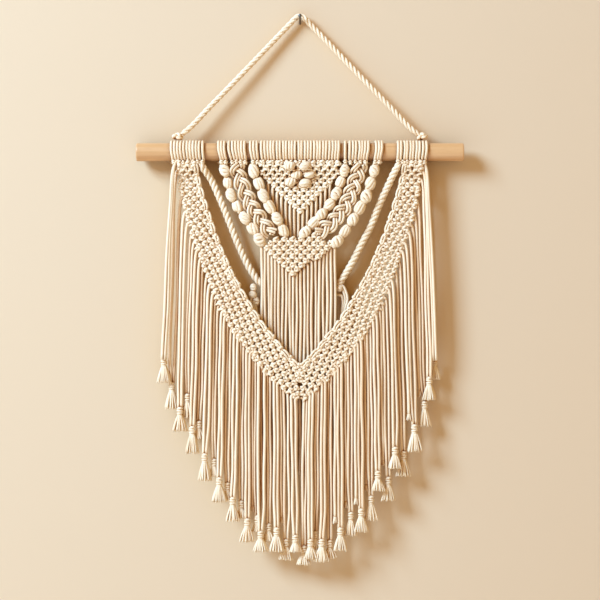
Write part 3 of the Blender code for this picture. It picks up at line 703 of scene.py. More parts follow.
@dataclass(frozen=True)
class Knot:
    """A knot as its plump lobes: two strands across it, a loop each side, and cords that run on.

    Heights are shares of the row's, widths of half the knot's and lifts of the cord's radius.
    """

    pitch: float
    row: float
    cord: float
    slant: float = 0.30
    bar: float = 0.60
    bar_rise: float = 0.34
    bar_lifts: tuple[float, float] = (1.1, 0.8)
    loop: float = 0.54
    loop_half: float = 0.40
    loop_turn: float = 1.57
    loop_lean: float = 0.3
    lift: float = 0.3
    arch: float = 0.6
    turn_spread: float = 0.16
    place_spread: float = 0.16
    cord_spread: float = 0.06
    rings: int = 5
    sides: int = 6
    tone: float = 0.17

    def field(self, centres: Array, across: Array, front: Array, wide: Array, legs: Array,
              rng: np.random.Generator) -> Surface:
        """Tie a knot at every place, and run its cords on to the next ones.

        A lobe is a short straight cord. By the cosine of the distance from its middle, its
        radius grows from half to the whole, and it arches forward.

        Args:
            centres: (knots, 2) places in the plane of the hanging.
            across: (knots, 2) unit vectors across the band.
            front: (knots,) how far forward each knot's middle stands.
            wide: (knots,) half of each knot's width.
            legs: (knots, 2, 2) how far across and down each of the two cords runs on.
            rng: source of the knots' small irregularities.

        Returns:
            The lobes.
        """
        count = len(centres)
        down = quarter(across)
        hand = np.where(rng.random(count) < 0.5, 1.0, -1.0)
        tall = np.full(count, self.row)
        bar, loop = self.bar * wide, self.loop_half * tall
        upright = self.loop_turn - self.loop_lean * hand
        lobes = []
        for x, y, half, angle, lift in (
                (0 * wide, -self.bar_rise * tall, bar, hand * self.slant, self.bar_lifts[0]),
                (0 * wide, self.bar_rise * tall, bar, -hand * self.slant, self.bar_lifts[1]),
                (-self.loop * wide, 0 * tall, loop, upright, self.lift),
                (self.loop * wide, 0 * tall, loop, upright, self.lift)):
            angle = angle + rng.normal(0.0, self.turn_spread, count)
            lobes.append(np.column_stack([x, y, half * np.cos(angle), half * np.sin(angle),
                                          np.full(count, lift)]))
        for k in (0, 1):
            half_leg = legs[:, k] * 0.5
            lobes.append(np.column_stack([half_leg, half_leg, np.full(count, self.lift)]))
        times = len(lobes)
        x, y, half_x, half_y, lift = (column[:, None] for column in np.concatenate(lobes).T)
        share = np.linspace(-1.0, 1.0, self.rings)[None]
        bow = np.cos(math.pi / 2 * share)
        size = self.cord * rng.normal(1.0, self.cord_spread, x.shape)
        x = x + rng.normal(0.0, self.place_spread, x.shape)
        y = y + rng.normal(0.0, self.place_spread, x.shape)
        paths = set_out(np.tile(centres, (times, 1)), np.tile(across, (times, 1)),
                        np.tile(down, (times, 1)), np.tile(front, times),
                        x + half_x * share, y + half_y * share,
                        size * (lift - 0.5 + self.arch * bow))
        return sweep(paths, size * (0.5 + 0.5 * bow), self.sides, lay=9.0,
                     tones=rng.normal(self.tone, 0.10, len(paths)))


@dataclass(frozen=True)
class Ball:
    """A round knot: cords drawn over a ball, from one side of its top to the other of its foot."""

    half_width: float
    half_depth: float
    half_length: float
    cord: float
    cords: int = 7
    twist: float = 0.5
    aslant: float = 0.65
    polar: float = 1.35
    rings: int = 9

    def field(self, centres: Array, along: Array, front: Array,
              rng: np.random.Generator) -> Surface:
        """Tie a round knot at every place, its axis along the given directions.

        Each cord is a meridian of a ball whose longitude drifts with its latitude. The ball is
        turned aslant in the plane, by turns left and right, then stretched to an ellipsoid.

        Args:
            centres: (knots, 2) places in the plane of the hanging.
            along: (knots, 2) directions of the knots' axes.
            front: (knots,) how far forward each knot's middle stands.
            rng: source of the knots' small irregularities.

        Returns:
            The cords of all knots.
        """
        count = len(centres)
        turn = self.aslant * (-1.0) ** np.arange(count) + rng.normal(0.0, 0.25, count)
        cos, sin = np.cos(turn)[:, None], np.sin(turn)[:, None]
        across = quarter(along)
        # a cord stops short of the poles, where the cords cross
        latitude = np.linspace(-self.polar, self.polar, self.rings)[None]
        paths, tones = [], []
        start = rng.uniform(0.0, math.tau, (count, 1))
        size = rng.normal(1.0, 0.05, (count, 1))
        for k in range(self.cords):
            longitude = start + math.tau * k / self.cords + self.twist * latitude
            level = size * rng.normal(1.0, 0.06, (count, 1))
            a = level * np.cos(latitude) * np.cos(longitude)
            b = level * np.sin(latitude)
            paths.append(set_out(
                centres, across, along, front,
                (self.half_width - self.cord) * (a * cos - b * sin),
                (self.half_length - self.cord * 0.8) * (a * sin + b * cos),
                (self.half_depth - self.cord) * level * np.cos(latitude) * np.sin(longitude)))
            tones.append(rng.normal(0.04, 0.09, count))
        return sweep(np.concatenate(paths), self.cord, 6, lay=12.0, tones=np.concatenate(tones))


@dataclass(frozen=True)
class EdgeCords:
    """Pairs of smooth cords that run in shallow arcs along a band's edge, from knot to knot."""

    length: float
    cord: float
    cords: int = 2
    bulge: float = 1.4
    overlap: float = 0.12
    apart: float = 1.9
    dip: float = 3.0
    rise: float = 3.4
    sink: float = 2.2
    rings: int = 9

    def along(self, edge: Array, front: Array, inward: Array, rng: np.random.Generator) -> Surface:
        """Lay arcs along an edge.

        Args:
            edge: (points, 2) places along the edge.
            front: (points,) how far forward they stand.
            inward: (points, 2) unit vectors into the band.
            rng: source of small irregularities.

        Returns:
            The arcs: each rises from under the band, bows outward and dips under again.
        """
        run = run_along(edge)
        count = max(int(round(run[-1] / self.length)), 1)
        share = np.linspace(-self.overlap, 1.0 + self.overlap, self.rings)
        at = np.clip((np.arange(count)[:, None] + share[None]) * run[-1] / count, 0.0, run[-1])
        bow = np.sin(math.pi * np.linspace(0.0, 1.0, self.rings))
        paths, tones = [], []
        for k in range(self.cords):
            depth = self.cord * (1.0 + self.apart * k) + self.dip * (1 - bow) ** 2
            depth = depth - self.bulge * bow * (1 - 0.3 * k) + rng.normal(0, 0.12, (count, 1))
            x, drop, f, nx, nd = (np.interp(at, run, values) for values in
                                  (edge[:, 0], edge[:, 1], front, inward[:, 0], inward[:, 1]))
            rise = self.rise * bow - self.sink
            paths.append(np.stack([x + nx * depth, f + rise, drop + nd * depth], axis=-1))
            tones.append(rng.normal(0.05, 0.08, count))
        return sweep(np.concatenate(paths), self.cord, 6, tones=np.concatenate(tones))


# ---------------------------------------------------------------- rod, nail and ropes


@dataclass(frozen=True)
class Dowel:
    """Turned rod with eased ends."""

    radius: float = DOWEL_RADIUS
    half: float = DOWEL_HALF
    ease: float = 1.3
    stations: int = 25
    sides: int = 48

    def build(self, finishes: Finishes) -> None:
        """Turn the rod: its radius follows a quarter circle at each end.

        Args:
            finishes: the materials.
        """
        bend = np.linspace(0.0, math.pi / 2, 6)
        end = np.column_stack([self.half - self.ease * (1 - np.sin(bend)),
                               self.radius - self.ease * (1 - np.cos(bend))])
        reach = self.half - 2 * self.ease
        body = np.column_stack([np.linspace(-reach, reach, self.stations),
                                np.full(self.stations, self.radius)])
        profile = np.vstack([end[::-1] * (-1, 1), body, end])
        rod = lathe(profile, (0, 0, 0), (1, 0, 0), self.sides)
        publish(rod, "dowel_rod", finishes.wood, ["dowel"])


@dataclass(frozen=True)
class Nail:
    """Round nail that slopes up out of the wall."""

    shank: float = 1.2
    head: float = 2.15
    length: float = 20.0
    thick: float = 1.3
    rise: float = 0.325
    sides: int = 20

    def build(self, finishes: Finishes) -> None:
        """Sweep the shank and its domed head, both cut parallel to the wall.

        Args:
            finishes: the materials.
        """
        stations = (0.0, 4.0, 12.0, self.length - 0.4)
        dome = ((0.0, self.head - 0.3), (0.25, self.head), (0.8, self.head),
                (self.thick, self.head * 0.7))
        profile = np.array([(station, self.shank) for station in stations]
                           + [(self.length + out, radius) for out, radius in dome])
        angle = math.tau * np.arange(self.sides) / self.sides
        out, radius = profile[:, :1], profile[:, 1:]
        x = radius * np.cos(angle)
        drop = -DOWEL_DROP + radius * np.sin(angle) - out * self.rise
        front = -DOWEL_DEPTH + out * np.ones_like(x)
        rings = np.stack([x, front, drop], axis=-1)
        axis = np.stack([0 * out[:, 0], -DOWEL_DEPTH + out[:, 0],
                         -DOWEL_DROP - out[:, 0] * self.rise], axis=-1)
        tube = sweep(axis[None], radius[None, :, 0], self.sides, start=(1.0, 0.0, 0.0))
        tube.points[:len(rings) * self.sides] = rings.reshape(-1, 3)
        publish(tube, "wall_nail", finishes.steel, ["nail"])


@dataclass(frozen=True)
class Rope:
    """A rope laid from three strands, whose places and sizes are shares of the rope's radius."""

    radius: float
    lay: float
    strands: int = 3
    strand_off: float = 0.52
    strand: float = 0.55
    drawn: float = 0.55
    ply_lay: float = 0.45
    step: float = 1.5

    def lie(self, path: Array, fade: float = 0.0) -> Surface:
        """Lay the strands round a path: each turns once round it in every lay.

        Args:
            path: (points, 3) places on the rope's middle line.
            fade: the length at each end over which the strands draw together.

        Returns:
            The strands.
        """
        size = run_along(path)[-1]
        path = curve(path, int(size / self.step) + 1)
        run = np.linspace(0.0, size, len(path))
        along, normal, binormal = (part[0] for part in frames(path[None], np.array([1.0, 0, 0]),
                                                             False))
        off = np.full(len(path), self.radius * self.strand_off)
        thick = np.full(len(path), self.radius * self.strand)
        if fade:
            loose = ramp(run, 0.0, fade) * ramp(size - run, 0.0, fade)
            close = self.drawn + (1.0 - self.drawn) * loose
            off, thick = off * close, thick * close
        turn = math.tau * (run / self.lay + np.arange(self.strands)[:, None] / self.strands)
        out = np.cos(turn)[..., None] * normal + np.sin(turn)[..., None] * binormal
        paths = path + off[:, None] * out
        return sweep(paths, thick[None], 8, lay=self.lay * self.ply_lay,
                     tones=np.linspace(-0.04, 0.08, self.strands))


def rope_line(points: Sequence[RopePoint]) -> Array:
    """Return rope points as an array of (x, front, drop)."""
    return np.array(points)[:, [0, 2, 1]]


def tied(centre: RopePoint, size: Sequence[float], cord: float, turn: float) -> Surface:
    """Return an overhand knot: a trefoil of cord squeezed into a size, turned in the plane.

    Args:
        centre: the knot's middle.
        size: its width, height and depth.
        cord: radius of its cord.
        turn: angle in the plane by which it is turned.

    Returns:
        The knot.
    """
    t = math.tau * np.arange(48) / 48
    a = (np.sin(t) + 2 * np.sin(2 * t)) / 3
    b = (np.cos(t) - 2 * np.cos(2 * t)) / 3
    reach = np.array(size, float) / 2 - cord
    x, drop, front = a * reach[0], b * reach[1], -np.sin(3 * t) * reach[2]
    cos, sin = math.cos(turn), math.sin(turn)
    path = np.stack([x * cos - drop * sin, front, x * sin + drop * cos], axis=-1)
    return sweep((path + rope_line([centre]))[None], cord, 8, closed=True, lay=8.0, tones=0.03)


@dataclass(frozen=True)
class HangerRope:
    """The rope over the nail, knotted at both ends on the dowel."""

    radius: float = 3.35
    lay: float = 22.0
    half: tuple[RopePoint, ...] = rows_of(
        RopePoint, (-150.5, -18.8, 0.0), (-146.5, -20.6, -0.2), (-141.0, -24.6, -0.6),
        (-110.0, -56.0, -3.0), (-60.0, -108.0, -6.5), (-25.0, -145.0, -9.0), (-11.0, -159.5, -9.6),
        (-4.5, -166.2, -9.8))
    top: RopePoint = RopePoint(0.0, -168.2, -9.8)
    fade: float = 14.0
    # the middle of each end knot and its turn in the plane
    knots: tuple[tuple[RopePoint, float], ...] = (
        (RopePoint(-149.6, -19.2, 0.3), 0.15), (RopePoint(149.2, -19.2, 0.3), -0.35))
    knot_size: tuple[float, float, float] = (15.0, 10.0, 9.4)
    knot_cord: float = 2.3

    def build(self, finishes: Finishes) -> None:
        """Lay the rope and tie its two end knots.

        Args:
            finishes: the materials.
        """
        points = [*self.half, self.top, *[p._replace(x=-p.x) for p in reversed(self.half)]]
        parts = [Rope(self.radius, self.lay).lie(rope_line(points), self.fade)]
        parts += [tied(middle, self.knot_size, self.knot_cord, turn) for middle, turn in self.knots]
        publish(Surface.joined(parts), "hanger", finishes.rope, ["hanger_rope"])


@dataclass(frozen=True)
class SwagRope:
    """A twisted rope that swags from the heading to the central fringe, with its end knots."""

    name: str
    path: tuple[RopePoint, ...]
    knots: tuple[tuple[Place, float, float], ...]
    tails: tuple[tuple[RopePoint, ...], ...]
    radius: float = 4.35
    lay: float = 21.0
    cord: float = 1.7
    fade: float = 5.0
    tail_steps: int = 22
    knot_front: float = -4.4
    knot_along: tuple[float, float] = (0.25, 1.0)

    def build(self, finishes: Finishes, rng: np.random.Generator) -> None:
        """Lay the rope, tie its round knots and hang the tails.

        Args:
            finishes: the materials.
            rng: source of small irregularities.
        """
        path = rope_line(self.path)
        path[:, 1] += emerge(path[:, 2])
        parts = [Rope(self.radius, self.lay).lie(path, self.fade)]
        for middle, half_width, half_length in self.knots:
            ball = Ball(half_width, half_width * 0.9, half_length, half_width * 0.46, cords=5)
            parts.append(ball.field(np.array([middle]), np.array([self.knot_along]),
                                    np.array([self.knot_front]), rng))
        parts += [sweep(curve(rope_line(tail), self.tail_steps)[None], self.cord, 8)
                  for tail in self.tails]
        publish_cotton(Surface.joined(parts), self.name, "twist", finishes.rope)


# ---------------------------------------------------------------- heading


@dataclass(frozen=True)
class Heading:
    """Cord loops round the dowel, and the small knots that hold them below it."""

    name: str
    groups: tuple[Group, ...]
    pitch: float = 3.78
    cord: float = 1.88
    rings: int = 36
    bow: float = 0.35
    tone: float = -0.2
    bar: Knot = Knot(pitch=5.6, row=3.4, cord=1.4)
    bar_drop: float = 12.6
    bar_front: float = 8.8
    bar_legs: tuple[tuple[float, float], ...] = ((-1.5, 3.0), (1.5, 3.0))

    def build(self, finishes: Finishes, rng: np.random.Generator) -> None:
        """Wrap every cord: a ring round the rod, which leans sideways towards its foot.

        Args:
            finishes: the materials.
            rng: source of small irregularities.
        """
        angle = math.tau * np.arange(self.rings) / self.rings
        reach = WRAP_REACH - self.cord
        # the lean starts above the axis and is whole at the foot; the back has none
        below = ramp(-np.cos(angle), -0.4, 1.0) * (np.sin(angle) > -0.3)
        paths, bars = [], []
        for group in self.groups:
            x = group.start + self.pitch * (np.arange(group.cords) + 0.5)
            x = x + rng.normal(0.0, 0.12, group.cords)
            shift = group.lean + (x.mean() - x) * group.pull
            bow = self.bow * np.sin(angle)[None] * rng.normal(0.0, 1.0, (group.cords, 1))
            along = x[:, None] + shift[:, None] * below[None] + bow
            front = reach * np.sin(angle)[None] * np.ones_like(along)
            drop = -reach * np.cos(angle)[None] * np.ones_like(along)
            paths.append(np.stack([along, front, drop], axis=-1))
            foot = x + shift
            width = foot[-1] - foot[0] + self.pitch
            knots = max(int(round(width / self.bar.pitch)), 1)
            bars.append(foot[0] - self.pitch / 2 + width / knots * (np.arange(knots) + 0.5))
        paths, bars = np.concatenate(paths), np.concatenate(bars)
        places = np.column_stack([bars, self.bar_drop + rng.normal(0.0, 0.25, len(bars))])
        across = np.tile([1.0, 0.0], (len(bars), 1))
        surface = Surface.joined([
            sweep(paths, self.cord * rng.normal(1.0, 0.02, (len(paths), 1)), 8, closed=True,
                  lay=11.0, tones=rng.normal(self.tone, 0.09, len(paths))),
            self.bar.field(places, across, np.full(len(bars), self.bar_front),
                           np.full(len(bars), self.bar.pitch / 2),
                           np.tile(self.bar_legs, (len(bars), 1, 1)), rng)])
        publish_cotton(surface, self.name, "wraps", finishes.cotton)


# ---------------------------------------------------------------- bands, nets, braids, chains


@dataclass(frozen=True)
class Lattice:
    """Rows of knots between two edges, every other row half a knot aside."""

    places: Array
    across: Array
    wide: Array
    legs: Array

    # a narrow knot's distance from its edge, in cord radii
    INSET: ClassVar[float] = 1.35
    # in halves of a knot's pitch: the room beside an edge that takes a narrow knot, and its width
    SPARE: ClassVar[float] = 1.55
    NARROWEST: ClassVar[float] = 0.6
    # how far a knot beside an edge reaches over it, and how far knots stray from their rows
    OVERLAP: ClassVar[float] = 1.1
    STRAY: ClassVar[float] = 0.22

    @classmethod
    def between(cls, inner: Array, outer: Array, knot: Knot, rng: np.random.Generator) -> Lattice:
        """Set out knots between two edges.

        Rows lie one row height apart, measured square to themselves. Where the edges slope
        across the rows, the knots keep their columns, so each row starts where its edge cuts
        them; a narrow knot fills what is left over beside an edge.

        Args:
            inner: (points, 2) places along the inner edge.
            outer: (points, 2) the places that face them on the outer edge.
            knot: the knot that fills the rows.
            rng: source of small irregularities.

        Returns:
            The knots' places, directions, half widths and legs.
        """
        steps = np.arange(len(inner), dtype=float)
        across = unit(outer - inner)
        middle = np.gradient((inner + outer) / 2, axis=0)
        advance = np.cumsum(np.abs(across[:, 0] * middle[:, 1] - across[:, 1] * middle[:, 0]))
        slide = np.cumsum((np.gradient(inner, axis=0) * across).sum(axis=1))
        count = int(advance[-1] / knot.row)
        rows = np.interp((np.arange(count) + 0.5) * advance[-1] / count, advance, steps)
        places, directions, widths, legs = [], [], [], []
        half, inset = knot.pitch / 2, knot.cord * cls.INSET
        for row, where in enumerate(rows):
            near, far = (np.array([np.interp(where, steps, side[:, k]) for k in (0, 1)])
                         for side in (inner, outer))
            length = float(np.linalg.norm(far - near))
            first = (half * (row % 2) - np.interp(where, steps, slide)) % knot.pitch
            spots = np.arange(first, length, knot.pitch)
            spots = spots[(spots > inset) & (spots < length - inset)]
            ends = (spots[0], length - spots[-1]) if len(spots) else (0.0, length)
            wide = np.minimum(np.minimum(spots, length - spots) * cls.OVERLAP, half)
            spots = np.concatenate([spots, [inset] * (ends[0] > cls.SPARE * half),
                                    [length - inset] * (ends[1] > cls.SPARE * half)])
            wide = np.concatenate([wide, np.zeros(len(spots) - len(wide))])
            wide = np.maximum(wide, cls.NARROWEST * half)
            runs = np.tile([[-half, knot.row], [half, knot.row]], (len(spots), 1, 1))
            runs[spots < half, 0] *= 0.5
            runs[spots > length - half, 1] *= 0.5
            places.append(near + (far - near) * (spots / length)[:, None])
            directions.append(np.tile(unit(far - near), (len(spots), 1)))
            widths.append(wide)
            legs.append(runs)
        spots = np.concatenate(places)
        return cls(spots + rng.normal(0.0, cls.STRAY, spots.shape), np.concatenate(directions),
                   np.concatenate(widths), np.concatenate(legs))


@dataclass(frozen=True)
class LongBand:
    """The long V band: an arm of alternating knots on each side, meeting at the tip."""

    knot: Knot = Knot(pitch=10.4, row=5.2, cord=1.9, slant=0.42, bar=0.57, loop=0.50, tone=0.08)
    edge: EdgeCords = EdgeCords(length=15.3, cord=1.45, bulge=1.6)
    edge_lift: float = 1.4
    # where the two arms' inner edges meet
    tip: float = 260.9
    steps: int = 600
    edge_steps: int = 160
    # rows of knots run from the inner edge to the outer one, rising outward further down
    rows: tuple[Section, ...] = rows_of(
        Section, (126.2, 12.5, 151.0, 12.5), (121.7, 37.7, 148.6, 36.5),
        (115.6, 58.5, 145.0, 56.0), (108.2, 81.7, 140.0, 77.0), (98.5, 109.2, 132.6, 101.5),
        (87.4, 135.5, 123.6, 124.5), (74.6, 161.2, 115.5, 147.3), (59.9, 185.7, 108.4, 166.6),
        (44.6, 209.5, 99.4, 187.5), (25.1, 233.4, 87.0, 208.4), (11.6, 249.9, 78.6, 223.0),
        (0.0, 260.9, 71.2, 232.2), (0.0, 283.0, 46.6, 264.0), (0.0, 303.0, 4.0, 302.0))

    def build(self, finishes: Finishes, rng: np.random.Generator) -> None:
        """Tie both arms and lay the arcs along their inner edges.

        Args:
            finishes: the materials.
            rng: source of small irregularities.
        """
        dense = curve(self.rows, self.steps)
        for name, side in (("long_v_left", -1), ("long_v_right", 1)):
            lattice = Lattice.between(dense[:, :2], dense[:, 2:], self.knot, rng)
            # across keeps pointing right on both arms, so that down stays down
            flip = np.array([side, 1.0])
            knots = self.knot.field(lattice.places * flip, lattice.across * (1.0, side),
                                    v_front(lattice.places[:, 1]), lattice.wide,
                                    lattice.legs * flip, rng)
            inner = [row[:2] for row in self.rows if row.inner_drop <= self.tip]
            inner = curve(inner, self.edge_steps) * flip
            inward = edge_normal(inner) * -side
            edge = self.edge.along(inner, v_front(inner[:, 1]) + self.edge_lift, inward, rng)
            publish_cotton(Surface.joined([knots, edge]), name, "band", finishes.cotton)


@dataclass(frozen=True)
class KnottedPanel:
    """A panel of alternating knots in level rows between two edges."""

    name: str
    rows: tuple[NetRow, ...]
    knot: Knot
    front: float
    balls: tuple[Place, ...] = ()
    ball: Ball = Ball(half_width=5.8, half_depth=5.6, half_length=7.2, cord=2.45)
    ball_along: tuple[float, float] = (1.0, -0.35)
    ball_lift: float = 3.6
    margin: float = 2.0
    half_height: float = 0.45
    room: float = 0.7
    edge_leg: float = 0.4
    columns: int = 12

    def build(self, finishes: Finishes, rng: np.random.Generator) -> None:
        """Tie a knot wherever one fits between the edges, then the round knots on top.

        Args:
            finishes: the materials.
            rng: source of small irregularities.
        """
        table = np.array(self.rows)
        half = self.knot.row * self.half_height
        lowest, highest = table[:, 2].max(), table[:, 1].min()
        count = int((lowest - highest) / self.knot.row) + 2
        row, column = np.meshgrid(np.arange(count), np.arange(-self.columns, self.columns + 1),
                                  indexing="ij")
        x = (column + 0.5 * (row % 2)) * self.knot.pitch + table[np.argmax(table[:, 2]), 0]
        drop = lowest - half - self.knot.row * row
        x, drop = x.ravel(), drop.ravel()
        top = np.interp(x, table[:, 0], table[:, 1])
        bottom = np.interp(x, table[:, 0], table[:, 2])
        inside = ((x > table[0, 0] + self.margin) & (x < table[-1, 0] - self.margin)
                  & (drop > top + half * self.room) & (drop < bottom - half * self.room))
        places = np.column_stack([x, drop])[inside]
        places = places + rng.normal(0.0, 0.2, places.shape)
        across = np.tile([1.0, 0.0], (len(places), 1))
        step = np.array([[-0.5, 1.0], [0.5, 1.0]]) * (self.knot.pitch, self.knot.row)
        ends = places[:, None] + step
        within = ((np.abs(ends[..., 0] - table[:, 0].mean()) < np.ptp(table[:, 0]) / 2)
                  & (ends[..., 1] < np.interp(ends[..., 0], table[:, 0], table[:, 2])))
        legs = step * np.where(within, 1.0, self.edge_leg)[..., None]
        front = self.front + emerge(places[:, 1])
        wide = np.full(len(places), self.knot.pitch / 2)
        parts = [self.knot.field(places, across, front, wide, legs, rng)]
        if self.balls:
            spots = np.array(self.balls)
            along = np.tile(unit(np.array(self.ball_along)), (len(spots), 1))
            lifted = self.front + emerge(spots[:, 1]) + self.ball_lift
            parts.append(self.ball.field(spots, along, lifted, rng))
        publish_cotton(Surface.joined(parts), self.name, "knots", finishes.cotton)


@dataclass(frozen=True)
class Chain:
    """A chain of round knots, each a little longer than its share of the route."""

    name: str
    beads: int
    half_width: float
    half_depth: float
    route: tuple[Place, ...]
    half_length: float = 0.57
    cord: float = 2.85
    weave: float = 0.7
    inner_cord: float = 1.6
    inner_apart: float = 1.7

    def build(self, finishes: Finishes, rng: np.random.Generator) -> None:
        """Tie the round knots along the route, and run two cords through them.

        Args:
            finishes: the materials.
            rng: source of small irregularities.
        """
        line = curve(self.route, self.beads * 8 + 1)
        # every round knot has eight spans of the line, and sits at its fourth point
        middle = line[4::8]
        along = unit(line[5::8] - line[3::8])
        length = run_along(line)[-1] / self.beads
        ball = Ball(self.half_width, self.half_depth, length * self.half_length, self.cord)
        front = second_front(middle[:, 1]) + self.weave * (-1.0) ** np.arange(self.beads)
        knots = ball.field(middle + rng.normal(0.0, 0.4, middle.shape), along, front, rng)
        normal = edge_normal(line)
        path = np.column_stack([line[:, 0], second_front(line[:, 1]), line[:, 1]])
        aside = np.column_stack([normal[:, 0], np.zeros(len(line)), normal[:, 1]])
        aside = aside * self.inner_apart
        cords = sweep(np.stack([path - aside, path + aside]), self.inner_cord, 6)
        publish_cotton(Surface.joined([knots, cords]), self.name, "knots", finishes.cotton)


@dataclass(frozen=True)
class Braid:
    """A flat, loose plait of three strands, each a pair of cords side by side."""

    name: str
    route: tuple[Place, ...]
    half_width: float = 10.2
    turn: float = 41.0
    cord: float = 1.7
    apart: float = 1.55
    depth: float = 2.3
    strands: int = 3
    forward: float = 0.6
    turn_sway: float = 0.22
    cord_sway: float = 0.45
    steps: int = 240

    def build(self, finishes: Finishes, rng: np.random.Generator) -> None:
        """Plait along the route.

        A strand's distance across is the sine of its turn and its way forward the sine of twice
        that, so every strand goes over one and under the next. Its two cords lie either side of
        it, along its own normal in the plane.

        Args:
            finishes: the materials.
            rng: source of small irregularities.
        """
        line = curve(self.route, self.steps)
        run = run_along(line)
        aside, front = edge_normal(line), second_front(line[:, 1]) + self.forward
        paths = []
        for k in range(self.strands):
            turn = math.tau * (run / self.turn + k / self.strands)
            turn = turn + self.turn_sway * np.sin(run / 9.0 + rng.uniform(0, math.tau))
            reach = self.half_width - self.cord - self.apart
            flat = line + aside * (reach * np.sin(turn))[:, None]
            side = edge_normal(flat)
            for step in (-1.0, 1.0):
                loose = self.cord_sway * np.sin(run / 4.1 + rng.uniform(0, math.tau))
                cord = flat + side * (step * self.apart + loose)[:, None]
                rise = self.depth * np.sin(2 * turn) + 0.5 * step
                paths.append(np.column_stack([cord[:, 0], front + rise, cord[:, 1]]))
        tones = rng.normal(0.04, 0.08, len(paths))
        plait = sweep(np.stack(paths), self.cord, 8, lay=9.0, tones=tones)
        publish_cotton(plait, self.name, "plait", finishes.rope)


# ---------------------------------------------------------------- fringes


class Cord(NamedTuple):
    """A fringe cord: where it leaves its band, where it ends, and how far forward it hangs."""

    root_x: float
    root: float
    root_front: float
    end_x: float
    end: float
    front: float
    hook: float
    hang_x: float
    hang_front: float


@dataclass(frozen=True)
class CordStyle:
    """How fringe cords fall: their radius, and how much they stray from straight."""

    radius: float = 1.9
    sides: int = 8
    stray: float = 0.55
    gather: float = 38.0
    hook_rise: float = 4.5
    hook_rings: int = 8
    fall_rings: int = 40
    first_share: float = 0.20
    first_fall: float = 7.0
    settle: float = 16.0
    # rings lie closer near the band, by this power of their share of the fall
    crowding: float = 1.25
    # turns of the waver, where it has set in and dies away, and its share forward
    waver_turns: tuple[float, float] = (0.7, 1.9)
    waver_in: float = 60.0
    waver_out: float = 40.0
    waver_forward: float = 0.6
    layer_stray: float = 0.35
    tone: float = -0.12

    def hang(self, cords: Sequence[Cord], rng: np.random.Generator) -> Surface:
        """Hang cords.

        Each comes out of its band along a quarter of an ellipse. Below that it takes a first
        share of its sideways way quickly, by an exponential, and the rest evenly, with a slow
        waver of its own, until it is gathered in to its end.

        Args:
            cords: the cords' two ends and the places between them.
            rng: source of the cords' small irregularities.

        Returns:
            The cords.
        """
        table = np.array(cords, float)
        (root_x, root, root_front, end_x, end, front, hook, hang_x,
         hang_front) = (column[:, None] for column in table.T)
        bend = np.linspace(0.0, math.pi / 2, self.hook_rings, endpoint=False)[None]
        hook_x = root_x - hook * (1 - np.sin(bend))
        hook_drop = root - self.hook_rise * np.cos(bend)
        hook_front = root_front + 0 * bend
        share = np.linspace(0.0, 1.0, self.fall_rings)[None] ** self.crowding
        fall = (end - root) * share
        quick = self.first_share * (1 - np.exp(-fall / self.first_fall))
        x = root_x + (hang_x - root_x) * (quick + (1 - self.first_share) * share)
        late = ramp(fall - (end - root), -self.gather, 0.0)
        x = x + (end_x - hang_x) * late
        depth = root_front + (hang_front - root_front) * ramp(fall, 0.0, self.settle)
        depth = depth + (front - hang_front) * late
        count = len(table)
        waver = np.sin(share * math.tau * rng.uniform(*self.waver_turns, (count, 1))
                       + rng.uniform(0, math.tau, (count, 1)))
        waver = waver * ramp(fall, 0.0, self.waver_in) * self.stray
        waver = waver * ramp(end - root - fall, 0.0, self.waver_out)
        x = x + waver
        depth = depth + self.waver_forward * np.roll(waver, 1, axis=0)
        depth = depth + rng.normal(0.0, self.layer_stray, (count, 1)) * ramp(fall, 4.0, 30.0)
        paths = np.stack([np.concatenate([hook_x, x], axis=1),
                          np.concatenate([hook_front, depth], axis=1),
                          np.concatenate([hook_drop, root + fall], axis=1)], axis=-1)
        radius = self.radius * rng.normal(1.0, 0.03, (count, 1))
        return sweep(paths, radius, self.sides, lay=10.0,
                     tones=rng.normal(self.tone, 0.12, count))


@dataclass(frozen=True)
class StraightFringe:
    """Cords that hang straight from a panel's lower edge."""

    name: str
    cords: tuple[float, ...]
    edge: tuple[Place, ...]
    root_front: float
    front: float
    ends: tuple[Place, ...]
    lean: float
    middle: float
    root_drop: float = 1.5
    style: CordStyle = CordStyle(radius=1.8, stray=0.8)

    def build(self, finishes: Finishes, rng: np.random.Generator) -> None:
        """Hang the cords: each leaves the knots from the side nearer the middle.

        Args:
            finishes: the materials.
            rng: source of small irregularities.
        """
        edge, ends = np.array(self.edge), np.array(self.ends)
        cords = []
        for x in self.cords:
            drop = float(np.interp(x, edge[:, 0], edge[:, 1]))
            end = float(np.interp(x, ends[:, 0], ends[:, 1]))
            side = math.copysign(1.0, x - self.middle)
            cords.append(Cord(x, drop + self.root_drop, self.root_front, x, end, self.front,
                              side * self.lean, x, self.front))
        publish_cotton(self.style.hang(cords, rng), self.name, "cords", finishes.hanging)


class Tassel(NamedTuple):
    """A tassel's middle, the drop of its head's middle, and half of its skirt's width."""

    x: float
    head: float
    half_width: float


